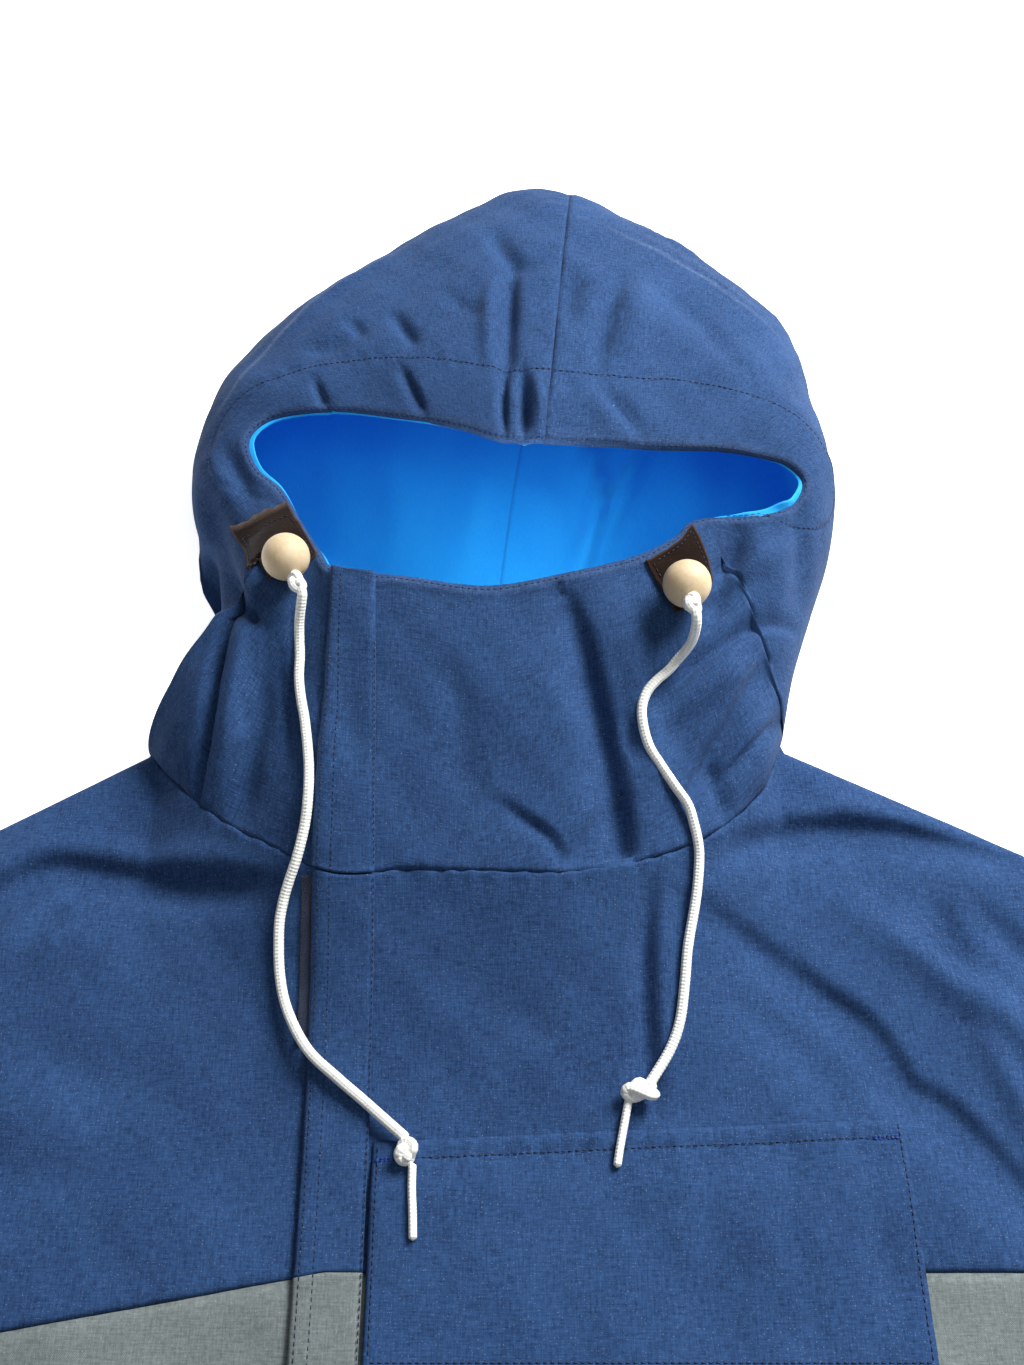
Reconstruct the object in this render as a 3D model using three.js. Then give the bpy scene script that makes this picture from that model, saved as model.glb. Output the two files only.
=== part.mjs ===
// A hooded anorak pullover lying on its back on a flat surface, with its hood puffed up.
// Millimetres. +Y points from hem to hood, +X to the wearer's left, +Z up. The surface is z = 0.
import * as THREE from "three";
import { mergeVertices } from "three/addons/utils/BufferGeometryUtils.js";

// Cloth and clearances
const CLOTH = 1.4; // one layer of the dense cotton shell, with its seam allowance
const LINING = 1.0;
const DOUBLE_CLOTH = 2.0; // the placket, two layers turned and stitched
const TRIM = 1.2; // suede and loop tape
const SEAM_GAP = 0.3;
const LAYER_GAP = 0.5;
const LINING_GAP = 1.45;

// Body
const HALF_CHEST = 308;
const HEM_Y = -640;
const ARMHOLE_Y = -235; // the bottom of the armholes
const HEM_TAPER = 0.025;
const FRONT_Z = 9.4; // top of the front where it lies over the back
const FOLD_Z = 3.1; // top of the front where it meets the back, at shoulders and sides
const FOLD_ROUND = 24; // width over which the front rises from a seam
const NECK_RISE_LENGTH = 150; // the front climbs to the collar over this length
const NECK_SIDE_X = 170;
const NECK_SIDE_Y = 76;
const SHOULDER_SLOPE = 0.58;
const COLOUR_SEAM_Y = -181;
const COLOUR_SEAM_X = -60; // the seam dips from here towards the wearer's right
const COLOUR_SEAM_DIP = 0.17;

// Sleeves
const SLEEVE_CUFF = { x: 628, y: -492, half: 67, angle: 50 }; // centre, half width, degrees below +X
const SLEEVE_HEIGHT = FRONT_Z;
const SLEEVE_RINGS = 7;

// Placket, pocket and loop tape. The placket covers the front opening.
const PLACKET_T = 0.25; // free edge of the placket along the neckline
const OPENING_T = 0.3; // where the two fronts meet under the placket
const PLACKET_SEAM_T = 0.347; // stitched edge of the placket
const PLACKET_END_Y = -330;
const PLACKET_LIFT = 1.9;
const CREST_T = 1.57; // centre seam of the hood
const POCKET = { x0: -38, x1: 200, top: -156, bottom: -392 };
const FLAP = { x0: -42, x1: 203.5, top: -126, rise: 0.044, bottom: -219 };
const FLAP_LIFT = 2.4; // clear of the pocket under it
const PATCH_LIFT = 0.9;
const TAPE = { x0: -79.5, x1: -62, y0: -83, y1: -8 };

// Beads and cords
const BEAD_R = 12.2;
const BEAD_BORE_R = 2.9;
const CORD_R = 2.5;
const TIP_R = 1.9;
const CORD_SIDES = 8;

// The edge of the hood's face opening, once round. t counts round the hood: 0 to 1 is the front,
// from the wearer's right side of the neck to the left, and 1 to 2 goes back over the crown.
const MOUTH_EDGE = [
  { t: 0, x: -90, y: 180, z: 73 },
  { t: 0.12, x: -78, y: 157, z: 79 },
  { t: 0.25, x: -69, y: 143, z: 84 },
  { t: 0.4, x: -30, y: 136, z: 86 },
  { t: 0.5, x: 8, y: 130, z: 87 },
  { t: 0.62, x: 52, y: 139, z: 86 },
  { t: 0.75, x: 85, y: 150, z: 84 },
  { t: 0.88, x: 106, y: 163, z: 82 },
  { t: 1, x: 123, y: 177, z: 80 },
  { t: 1.05, x: 142, y: 178, z: 80 },
  { t: 1.11, x: 160, y: 181, z: 80 },
  { t: 1.16, x: 172, y: 188, z: 80 },
  { t: 1.2, x: 177, y: 199, z: 82 },
  { t: 1.24, x: 170, y: 206, z: 87 },
  { t: 1.3, x: 155, y: 208, z: 93 },
  { t: 1.38, x: 131, y: 207, z: 100 },
  { t: 1.47, x: 99, y: 204, z: 105 },
  { t: 1.57, x: 39, y: 206, z: 108 },
  { t: 1.62, x: 16, y: 209, z: 106 },
  { t: 1.68, x: -5, y: 220, z: 102 },
  { t: 1.75, x: -38, y: 234, z: 94 },
  { t: 1.82, x: -83, y: 247, z: 84 },
  { t: 1.87, x: -113, y: 246, z: 76 },
  { t: 1.905, x: -123, y: 236, z: 71 },
  { t: 1.94, x: -117, y: 219, z: 68 },
  { t: 1.97, x: -103, y: 205, z: 68 },
  { t: 2, x: -90, y: 180, z: 73 },
];
// The fold where the hood turns from its upper to its under side, over the crown from left to right.
const HOOD_FOLD = [
  { t: 1, x: 167, y: 80, z: 3 },
  { t: 1.05, x: 174, y: 112, z: 12 },
  { t: 1.11, x: 188, y: 152, z: 16 },
  { t: 1.17, x: 200, y: 185, z: 20 },
  { t: 1.24, x: 206, y: 225, z: 24 },
  { t: 1.32, x: 200, y: 285, z: 28 },
  { t: 1.38, x: 187, y: 345, z: 33 },
  { t: 1.42, x: 161, y: 376, z: 38 },
  { t: 1.5, x: 102, y: 428, z: 42 },
  { t: 1.57, x: 60, y: 454, z: 42 },
  { t: 1.61, x: 34, y: 460, z: 42 },
  { t: 1.65, x: -3, y: 441, z: 42 },
  { t: 1.7, x: -50, y: 407, z: 40 },
  { t: 1.77, x: -103, y: 367, z: 36 },
  { t: 1.83, x: -143, y: 318, z: 31 },
  { t: 1.87, x: -159, y: 280, z: 27 },
  { t: 1.905, x: -164, y: 240, z: 24 },
  { t: 1.94, x: -157, y: 203, z: 21 },
  { t: 1.965, x: -143, y: 178, z: 18 },
  { t: 1.98, x: -141, y: 135, z: 13 },
  { t: 2, x: -173, y: 75, z: 3 },
];
// The neck seam: the front half lies on the chest, the back half on the surface.
const NECK_FRONT = [
  { t: 0, x: -173, y: 75, z: 3 },
  { t: 0.07, x: -149, y: 47, z: 21 },
  { t: 0.14, x: -122, y: 24, z: 32 },
  { t: 0.2, x: -94, y: 7, z: 40 },
  { t: 0.25, x: -74, y: -4, z: 44 },
  { t: 0.4, x: -28, y: -6.5, z: 46.5 },
  { t: 0.5, x: 5, y: -7, z: 47 },
  { t: 0.62, x: 50, y: -7, z: 46 },
  { t: 0.7, x: 84, y: 0, z: 42.5 },
  { t: 0.78, x: 108, y: 9, z: 38 },
  { t: 0.86, x: 132, y: 25, z: 31 },
  { t: 0.93, x: 152, y: 47, z: 21 },
  { t: 1, x: 167, y: 80, z: 3 },
];
const NECK_BACK = [
  { t: 1, x: 167, y: 80, z: 3 },
  { t: 1.04, x: 160, y: 77, z: 1 },
  { t: 1.1, x: 140, y: 72, z: 0 },
  { t: 1.57, x: 0, y: 62, z: 0 },
  { t: 1.9, x: -146, y: 68, z: 0 },
  { t: 1.96, x: -165, y: 72, z: 1 },
  { t: 2, x: -173, y: 75, z: 3 },
];

// Routes of the two cords, from the knot under the bead to the knot at the tip
const CORD_RIGHT = [
  [-83.2, 124.9, 88.9], [-83.3, 121.6, 86.6], [-84.3, 117.6, 82.2], [-85.2, 113.2, 77.2], [-85.3, 107.1, 72.8],
  [-84.8, 98.2, 69.6], [-84.8, 88.1, 67.2], [-83.3, 77.3, 65], [-80.6, 64.9, 63.2], [-77.6, 44.3, 60.2],
  [-77, 28, 57.6], [-78.4, 13.9, 52.2], [-81.9, -0.2, 46.2], [-85.8, -10.3, 40.3], [-88.6, -19.4, 35.6],
  [-90.2, -31.3, 31], [-88.9, -51.7, 25.3], [-84.1, -68.6, 22.6], [-73.1, -86.9, 24.2], [-58.4, -99.8, 23.2],
  [-47, -108.7, 21.2], [-38.6, -115.3, 18.2], [-27.9, -123.9, 16.6],
];
const CORD_LEFT = [
  [111.8, 106.8, 98], [112.1, 103.4, 96.1], [112, 101.2, 92], [111.6, 100.4, 86], [110.8, 99.8, 80],
  [108.4, 98.6, 73.8], [104.5, 95.6, 69.6], [100.8, 91.6, 68], [94.1, 85.6, 67.3], [89.3, 79.7, 66.6],
  [86.6, 72.1, 65.1], [86.9, 63.3, 62.6], [89.7, 53.4, 59.2], [95, 45.3, 55.6], [102.3, 35.6, 50.8],
  [108.7, 27.3, 46.5], [111.6, 18.3, 42.7], [113.4, 10.1, 39.5], [113.7, 1.5, 36.2], [111.6, -15.4, 31.6],
  [106.9, -37.4, 26.6], [104.8, -53.5, 23], [101.7, -71.8, 19.6], [96.3, -85.4, 17.6], [86.8, -99.8, 16.8],
];
const TIP_RIGHT = [[-23.1, -138.6, 16.1], [-23, -147, 16.1], [-22.3, -157, 16.2], [-21.7, -168.6, 16.2]];
const TIP_LEFT = [[75.6, -110, 15], [73.6, -118.8, 14.8], [71.3, -128.7, 15.1], [69.5, -137.8, 15.3]];
const HARDWARE = {
  right: { bead: [-92.8, 145.4, 89.4], bore: [0.43, -0.9, 0], end_knot: [-25.2, -131.4, 18.2] },
  left: { bead: [109.6, 128.2, 90.8], bore: [0.1, -0.93, 0.35], end_knot: [81.2, -104.9, 18.2] },
};
const KNOT = { r: 5.4, length: 4.8 }; // radius across, half length along the cord
const KNOT_SEAT = 0.5; // the knot sits this far into the mouth of the bore
const END_KNOT = { r: 5.0, length: 7 };

// Suede patches on the hood: the places on it of the ends of their first and last edges
const PATCH_RIGHT = {
  first: { top: { t: 1.981, row: 0.15 }, bottom: { t: 1.965, row: 2.55 } },
  last: { top: { t: 2.14, row: 0.15 }, bottom: { t: 2.045, row: 3 } },
};
const PATCH_LEFT = {
  first: { top: { t: 0.775, row: 0.45 }, bottom: { t: 0.835, row: 3.6 } },
  last: { top: { t: 0.965, row: 0.3 }, bottom: { t: 0.955, row: 3.3 } },
};

const COLOURS = {
  navy: { color: 0x32497a, roughness: 0.9 },
  grey: { color: 0x7f8680, roughness: 0.92 },
  azure: { color: 0x0d78c9, roughness: 0.75 },
  suede: { color: 0x3a2418, roughness: 0.95 },
  wood: { color: 0xdcc6a5, roughness: 0.6 },
  cord: { color: 0xe6ebe2, roughness: 0.85 },
  tape: { color: 0x141a2c, roughness: 1 },
};

const clamp = (v, lo, hi) => Math.min(Math.max(v, lo), hi);
const mix = (a, b, s) => a + (b - a) * s;
const vec = (x, y, z) => new THREE.Vector3(x, y, z);
function smooth(a, b, v) {
  const s = clamp((v - a) / (b - a), 0, 1);
  return s * s * (3 - 2 * s);
}
function range(a, b, steps) {
  return Array.from({ length: steps + 1 }, (_, i) => mix(a, b, i / steps));
}

// A smooth curve through a table's rows, read at t.
function along(table, t) {
  const last = table.length - 1;
  const at = clamp(t, table[0].t, table[last].t);
  const i = clamp(table.findIndex((row) => row.t > at) - 1, 0, last - 1);
  const k = at >= table[last].t ? last - 1 : i;
  const span = table[k + 1].t - table[k].t;
  const s = (at - table[k].t) / span;
  const value = (axis) => {
    const slope = (j) => {
      const before = j > 0 ? (table[j][axis] - table[j - 1][axis]) / (table[j].t - table[j - 1].t) : null;
      const after = j < last ? (table[j + 1][axis] - table[j][axis]) / (table[j + 1].t - table[j].t) : null;
      if (before === null) return after;
      if (after === null) return before;
      const wide = table[j + 1].t - table[j - 1].t;
      return (before * (table[j + 1].t - table[j].t) + after * (table[j].t - table[j - 1].t)) / wide;
    };
    const h1 = s * s * (3 - 2 * s);
    const rise = span * (slope(k) * s * (1 - s) * (1 - s) - slope(k + 1) * s * s * (1 - s));
    return mix(table[k][axis], table[k + 1][axis], h1) + rise;
  };
  return vec(value("x"), value("y"), value("z"));
}

// ---- hood surface ----

// One line of the hood from the face opening (0) to the neck seam (1), as points and their distances.
function hoodLine(t) {
  const mouth = along(MOUTH_EDGE, t);
  const points = [];
  let marks = null;
  if (t <= 1) {
    const neck = along(NECK_FRONT, t);
    const round = Math.max(1 - smooth(0, 0.2, t), smooth(0.75, 1, t));
    for (const r of range(0, 1, 40)) {
      const turn = (r * Math.PI) / 2;
      const arc = vec(mix(mouth.x, neck.x, Math.sin(turn)), mix(mouth.y, neck.y, Math.sin(turn)),
        mix(neck.z, mouth.z, Math.cos(turn)));
      points.push(mouth.clone().lerp(neck, r).lerp(arc, round));
    }
  } else {
    const fold = along(HOOD_FOLD, t);
    const neck = along(NECK_BACK, t);
    for (const turn of range(0, Math.PI / 2, 30))
      points.push(vec(mix(mouth.x, fold.x, Math.sin(turn)), mix(mouth.y, fold.y, Math.sin(turn)),
        mix(fold.z, mouth.z, Math.cos(turn))));
    const inward = vec(neck.x - fold.x, neck.y - fold.y, 0);
    const reach = Math.min(fold.z, inward.length() * 0.45);
    inward.normalize();
    for (const turn of range(0, Math.PI / 2, 12).slice(1)) {
      const p = fold.clone().addScaledVector(inward, reach * (1 - Math.cos(turn)));
      p.z = mix(neck.z, fold.z, 1 - Math.sin(turn));
      points.push(p);
    }
    const floor = points[points.length - 1].clone();
    for (const r of range(0, 1, 12).slice(1)) {
      const p = floor.clone().lerp(neck, r);
      p.x -= FLOOR_BOW * Math.sin(Math.PI * r) * clamp(p.x / 100, -1, 1);
      points.push(p);
    }
    marks = [5, 10, 15, 19, 23, 27, 30, 34, 38, 42, 45, 48, 51, 54]; // even steps of turn, then of length
  }
  const lengths = [0];
  for (let i = 1; i < points.length; i++) lengths.push(lengths[i - 1] + points[i].distanceTo(points[i - 1]));
  return { points, lengths, marks };
}

function atLength(line, length) {
  const i = clamp(line.lengths.findIndex((v) => v >= length) - 1, 0, line.points.length - 2);
  const span = line.lengths[i + 1] - line.lengths[i];
  return line.points[i].clone().lerp(line.points[i + 1], (length - line.lengths[i]) / span);
}

const HOOD_ROWS = 14;
const FLOOR_BOW = 22; // the under side's lines bow towards the middle by this much
const LINING_EVEN = 6; // the lining's rows match the shell's down to this one
const LINING_SHORT = 6.6; // the row where it ends at the sides and front
const LINING_LONG = 13; // and on the back of the hood
// A row's share of the way from the face opening to the neck seam: even on the collar, and closer
// round the fold of the crown.
function hoodPoint(t, row) {
  const line = hoodLine(t);
  const total = line.lengths[line.lengths.length - 1];
  const even = row / HOOD_ROWS;
  if (!line.marks) return atLength(line, even * total);
  const k = clamp(Math.floor(row), 0, HOOD_ROWS - 1);
  const marked = [0, ...line.marks].map((m) => line.lengths[m] / total);
  const near = mix(marked[k], marked[k + 1], row - k);
  const crown = smooth(1, 1.14, t) * (1 - smooth(1.9, 2, t));
  return atLength(line, mix(even, near, crown) * total);
}

// ---- body surfaces ----

const taper = (y) => 1 - HEM_TAPER * smooth(ARMHOLE_Y, HEM_Y, y);
const shoulderY = (x) => NECK_SIDE_Y - SHOULDER_SLOPE * (Math.abs(x) - NECK_SIDE_X);
const colourSeamY = (x) => COLOUR_SEAM_Y - COLOUR_SEAM_DIP * Math.max(0, COLOUR_SEAM_X - x);
const rounded = (d) => Math.sqrt(1 - (1 - clamp(d / FOLD_ROUND, 0, 1)) ** 2);

const neckSamples = range(0, 1, 120).map((t) => along(NECK_FRONT, t));
function neckAt(x) {
  const i = clamp(neckSamples.findIndex((p) => p.x >= x) - 1, 0, neckSamples.length - 2);
  const a = neckSamples[i];
  const b = neckSamples[i + 1];
  return a.clone().lerp(b, clamp((x - a.x) / (b.x - a.x), 0, 1));
}

// Top of the front panels over (x, y)
function frontTop(x, y) {
  const inNeck = x > neckSamples[0].x && x < neckSamples[120].x;
  const neck = inNeck ? neckAt(x) : vec(x, shoulderY(x), FOLD_Z);
  const side = mix(1, rounded(HALF_CHEST - Math.abs(x)), smooth(ARMHOLE_Y + 14, ARMHOLE_Y - 20, y));
  const below = Math.max(0, neck.y - y);
  const edge = rounded(below + Math.max(0, neck.z - FOLD_Z) * 3);
  const lying = mix(FOLD_Z, FRONT_Z, Math.min(side, edge));
  const rise = Math.max(0, neck.z - FRONT_Z) * Math.max(0, 1 - below / NECK_RISE_LENGTH) ** 2;
  return lying + rise;
}

// ---- turning surfaces into cloth ----

function meshOf(name, positions, indices, look) {
  const flat = new THREE.BufferGeometry();
  flat.setAttribute("position", new THREE.Float32BufferAttribute(positions, 3));
  flat.setIndex(indices);
  const merged = mergeVertices(flat, 1e-4);
  const mesh = new THREE.Mesh(merged, new THREE.MeshStandardMaterial({ ...COLOURS[look], metalness: 0 }));
  mesh.name = name;
  return mesh;
}

function gridNormals(grid) {
  const cols = grid.length;
  const rows = grid[0].length;
  return grid.map((column, i) => column.map((_, j) => {
    const across = grid[Math.min(i + 1, cols - 1)][j].clone().sub(grid[Math.max(i - 1, 0)][j]);
    const down = grid[i][Math.min(j + 1, rows - 1)].clone().sub(grid[i][Math.max(j - 1, 0)]);
    return down.cross(across).normalize();
  }));
}

// A sheet of cloth: the grid is its outer face, columns of points from top to bottom and from the
// wearer's right to left, and the wall goes inwards. A lift moves it out first.
function sheet(name, grid, wall, look, lift = 0) {
  const normals = gridNormals(grid);
  const outer = grid.map((column, i) => column.map((p, j) => p.clone().addScaledVector(normals[i][j], lift)));
  const inner = outer.map((column, i) => column.map((p, j) => p.clone().addScaledVector(normals[i][j], -wall)));
  const cols = grid.length;
  const rows = grid[0].length;
  const positions = [...outer.flat(), ...inner.flat()].flatMap((p) => [p.x, p.y, p.z]);
  const at = (layer, i, j) => layer * cols * rows + i * rows + j;
  const indices = [];
  const quad = (a, b, c, d) => indices.push(a, b, c, a, c, d);
  for (let i = 0; i < cols - 1; i++)
    for (let j = 0; j < rows - 1; j++) {
      quad(at(0, i, j), at(0, i, j + 1), at(0, i + 1, j + 1), at(0, i + 1, j));
      quad(at(1, i, j), at(1, i + 1, j), at(1, i + 1, j + 1), at(1, i, j + 1));
    }
  for (let i = 0; i < cols - 1; i++) {
    quad(at(0, i, 0), at(0, i + 1, 0), at(1, i + 1, 0), at(1, i, 0));
    quad(at(0, i + 1, rows - 1), at(0, i, rows - 1), at(1, i, rows - 1), at(1, i + 1, rows - 1));
  }
  for (let j = 0; j < rows - 1; j++) {
    quad(at(0, 0, j + 1), at(0, 0, j), at(1, 0, j), at(1, 0, j + 1));
    quad(at(0, cols - 1, j), at(0, cols - 1, j + 1), at(1, cols - 1, j + 1), at(1, cols - 1, j));
  }
  return meshOf(name, positions, indices, look);
}

// The grid between a top and a bottom line, on the front's surface. Rows crowd towards the top.
function frontGrid(columns, rows, topOf, bottomOf, crowd = 1) {
  return columns.map((x) => range(0, 1, rows).map((s) => {
    const y = mix(topOf(x), bottomOf(x), s ** crowd);
    return vec(x * taper(y), y, frontTop(x, y));
  }));
}

// ---- hood ----

const hoodTs = [
  0.001, 0.04, 0.08, 0.12, 0.16, 0.2, 0.25, OPENING_T, 0.36, 0.42, 0.5, 0.58, 0.65, 0.72, 0.78, 0.84, 0.9,
  0.95, 1.001, 1.05, 1.09, 1.13, 1.165, 1.2, 1.235, 1.28, 1.33, 1.375, 1.42, 1.47, 1.52, CREST_T, 1.62, 1.67,
  1.72, 1.77, 1.82, 1.86, 1.885, 1.905, 1.93, 1.955, 1.97, 1.985,
];
const shellColumns = (ts) => ts.map((t) => range(0, HOOD_ROWS, HOOD_ROWS).map((row) => hoodPoint(t % 2, row)));

// The lining reaches furthest down the back of the hood, where the face opening shows it.
const liningColumns = (ts) => ts.map((t) => {
  const at = t % 2;
  const end = mix(LINING_SHORT, LINING_LONG, smooth(1.02, 1.2, at) * (1 - smooth(1.8, 1.92, at)));
  const rows = range(0, LINING_LONG, LINING_LONG).map((row) => (row < LINING_EVEN ? row
    : mix(LINING_EVEN, end, (row - LINING_EVEN) / (LINING_LONG - LINING_EVEN))));
  rows[0] = 0.03;
  return rows.map((row) => hoodPoint(at, row));
});

function hoodPanels() {
  const gapT = 0.0022;
  const left = [OPENING_T + gapT, ...hoodTs.filter((t) => t > OPENING_T && t < CREST_T), CREST_T - gapT];
  const right = [CREST_T + gapT, ...hoodTs.filter((t) => t > CREST_T),
    ...hoodTs.filter((t) => t < OPENING_T).map((t) => t + 2), OPENING_T + 2];
  const sides = [["left", left], ["right", right]];
  return sides.flatMap(([side, ts]) => [
    sheet("hood_" + side, shellColumns(ts), CLOTH, "navy"),
    sheet("hood_lining_" + side, liningColumns(ts), LINING, "azure", -CLOTH - LINING_GAP),
  ]);
}

// A square of suede laid on the hood, between two of its edges.
function patch(name, { first, last }) {
  const grid = range(0, 1, 4).map((a) => range(0, 1, 4).map((b) => {
    const at = (key) => mix(mix(first.top[key], first.bottom[key], b), mix(last.top[key], last.bottom[key], b), a);
    return hoodPoint(at("t") % 2, at("row"));
  }));
  return sheet(name, grid, TRIM, "suede", PATCH_LIFT + TRIM);
}

// ---- body ----

const neckTs = hoodTs.filter((t) => t <= 1.001);
function bodyColumns(side) {
  const seam = along(NECK_FRONT, OPENING_T).x;
  const neckXs = neckTs.map((t) => along(NECK_FRONT, Math.min(t, 1)).x);
  if (side === "right")
    return [...range(-HALF_CHEST, neckXs[0], 6).slice(0, 6), ...neckXs.filter((x) => x < seam - 1), seam];
  return [seam + SEAM_GAP, ...neckXs.filter((x) => x > seam + 1),
    ...range(neckXs[neckXs.length - 1], HALF_CHEST, 6).slice(1)];
}
const bodyTop = (x) => (x > neckSamples[0].x && x < neckSamples[120].x ? neckAt(x).y - 2 : shoulderY(x));

function fronts() {
  return ["left", "right"].flatMap((side) => {
    const columns = bodyColumns(side);
    const upper = frontGrid(columns, 10, bodyTop, (x) => colourSeamY(x) + SEAM_GAP, 1.4);
    const lower = frontGrid(columns.filter((_, i) => i % 2 === 0 || i === columns.length - 1), 6,
      colourSeamY, () => HEM_Y);
    return [sheet("front_upper_" + side, upper, CLOTH, "navy"), sheet("front_lower_" + side, lower, CLOTH, "grey")];
  });
}

function backs() {
  const outline = (top, bottom) => {
    const shape = new THREE.Shape([...top, ...bottom].map(([x, y]) => new THREE.Vector2(x * taper(y), y)));
    return new THREE.ExtrudeGeometry(shape, { depth: CLOTH, bevelEnabled: false });
  };
  const neck = range(0, 1, 14).map((s) => along(NECK_BACK, mix(1.04, 1.96, s))).map((p) => [p.x, p.y - 0.6]);
  const seamRight = colourSeamY(-HALF_CHEST);
  const seamLeft = COLOUR_SEAM_Y;
  const pieces = [
    ["back_upper", "navy", outline([[HALF_CHEST, shoulderY(HALF_CHEST)], [171, NECK_SIDE_Y - 1], ...neck,
      [-174, NECK_SIDE_Y - 2.5], [-HALF_CHEST, shoulderY(HALF_CHEST)]],
    [[-HALF_CHEST, seamRight + SEAM_GAP], [HALF_CHEST, seamLeft + SEAM_GAP]])],
    ["back_lower", "grey", outline([[HALF_CHEST, seamLeft], [-HALF_CHEST, seamRight]],
      [...range(seamRight, HEM_Y, 4).slice(1).map((y) => [-HALF_CHEST, y]),
        ...range(HEM_Y, seamLeft, 4).slice(0, 4).map((y) => [HALF_CHEST, y])])],
  ];
  return pieces.map(([name, look, geometry]) => {
    const mesh = new THREE.Mesh(geometry, new THREE.MeshStandardMaterial({ ...COLOURS[look], metalness: 0 }));
    mesh.name = name;
    return mesh;
  });
}

// A sleeve lies flat as a tube, open at the armhole and the cuff.
function sleeve(name, side) {
  const cuffTurn = (SLEEVE_CUFF.angle * Math.PI) / 180;
  const cuffAcross = vec(Math.sin(cuffTurn), Math.cos(cuffTurn), 0).multiplyScalar(SLEEVE_CUFF.half);
  const cuff = vec(SLEEVE_CUFF.x, SLEEVE_CUFF.y, 0);
  const root = HALF_CHEST + SEAM_GAP;
  const upper = [vec(root, shoulderY(root), 0), cuff.clone().add(cuffAcross)];
  const lower = [vec(root, ARMHOLE_Y, 0), cuff.clone().sub(cuffAcross)];
  const ring = (s, inset) => {
    const bow = 10 * Math.sin(Math.PI * s);
    const a = upper[0].clone().lerp(upper[1], s).add(vec(bow, bow, 0));
    const b = lower[0].clone().lerp(lower[1], s).add(vec(-bow, bow, 0));
    const across = a.clone().sub(b);
    const half = across.length() / 2;
    across.normalize();
    const centre = a.clone().lerp(b, 0.5);
    const r = SLEEVE_HEIGHT / 2;
    const section = [];
    for (const end of [1, -1])
      for (const turn of range(-Math.PI / 2, Math.PI / 2, 4))
        section.push([end * (half - r + (r - inset) * Math.cos(turn)), r + end * (r - inset) * Math.sin(turn)]);
    return section.map(([across_mm, z]) => centre.clone().addScaledVector(across, across_mm).setZ(z));
  };
  const layers = [0, CLOTH].map((inset) => range(0, 1, SLEEVE_RINGS).map((s) => ring(s, inset)));
  const sides = layers[0][0].length;
  const positions = layers.flat(2).flatMap((p) => [p.x * side, p.y, p.z]);
  const at = (layer, i, j) => (layer * (SLEEVE_RINGS + 1) + i) * sides + (j % sides);
  const indices = [];
  const quad = (a, b, c, d) => (side < 0 ? indices.push(a, b, c, a, c, d) : indices.push(a, c, b, a, d, c));
  for (let i = 0; i < SLEEVE_RINGS; i++)
    for (let j = 0; j < sides; j++) {
      quad(at(0, i, j), at(0, i + 1, j), at(0, i + 1, j + 1), at(0, i, j + 1));
      quad(at(1, i, j), at(1, i, j + 1), at(1, i + 1, j + 1), at(1, i + 1, j));
    }
  for (let j = 0; j < sides; j++) {
    quad(at(0, 0, j), at(0, 0, j + 1), at(1, 0, j + 1), at(1, 0, j));
    quad(at(0, SLEEVE_RINGS, j + 1), at(0, SLEEVE_RINGS, j), at(1, SLEEVE_RINGS, j), at(1, SLEEVE_RINGS, j + 1));
  }
  return meshOf(name, positions, indices, "navy");
}

// ---- placket, tape and pocket ----

function placket() {
  const ts = range(PLACKET_T, PLACKET_SEAM_T, 3);
  const columns = ts.map((t) => along(NECK_FRONT, t).x);
  const collar = ts.map((t) => range(0, HOOD_ROWS, 10).map((row) => hoodPoint(t, row)));
  const chest = frontGrid(columns, 10, (x) => neckAt(x).y - 2, (x) => colourSeamY(x) + SEAM_GAP, 1.3);
  const lower = frontGrid(columns, 4, colourSeamY, () => PLACKET_END_Y);
  const lift = PLACKET_LIFT + DOUBLE_CLOTH;
  return [
    sheet("placket_collar", collar, DOUBLE_CLOTH, "navy", lift),
    sheet("placket_chest", chest, DOUBLE_CLOTH, "navy", lift),
    sheet("placket_lower", lower, DOUBLE_CLOTH, "grey", lift),
    sheet("loop_tape", frontGrid(range(TAPE.x0, TAPE.x1, 2), 5, () => TAPE.y1, () => TAPE.y0), TRIM, "tape",
      LAYER_GAP + TRIM - 0.1),
  ];
}

function pocket() {
  const body = frontGrid(range(POCKET.x0, POCKET.x1, 8), 6, () => POCKET.top, () => POCKET.bottom);
  const flapTop = (x) => FLAP.top + FLAP.rise * (x - FLAP.x0);
  const flap = frontGrid(range(FLAP.x0, FLAP.x1, 10), 7, flapTop, () => FLAP.bottom);
  for (const column of flap)
    for (const p of column) p.z += FLAP_LIFT * smooth(FLAP.top - 2, POCKET.top + 6, p.y);
  return [
    sheet("pocket", body, CLOTH, "navy", LAYER_GAP + CLOTH),
    sheet("pocket_flap", flap, CLOTH, "navy", LAYER_GAP + CLOTH),
  ];
}

// ---- beads, knots and cords ----

function solid(name, geometry, look, place, axis) {
  const mesh = new THREE.Mesh(geometry, new THREE.MeshStandardMaterial({ ...COLOURS[look], metalness: 0 }));
  mesh.name = name;
  mesh.position.set(...place);
  mesh.quaternion.setFromUnitVectors(vec(0, 1, 0), vec(...axis).normalize());
  return mesh;
}

function beadGeometry() {
  const half = Math.sqrt(BEAD_R ** 2 - BEAD_BORE_R ** 2);
  const turn = Math.atan2(half, BEAD_BORE_R);
  const arc = range(-turn, turn, 12).map((a) => new THREE.Vector2(BEAD_R * Math.cos(a), BEAD_R * Math.sin(a)));
  return new THREE.LatheGeometry([...arc, arc[0].clone()], 20);
}

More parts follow.
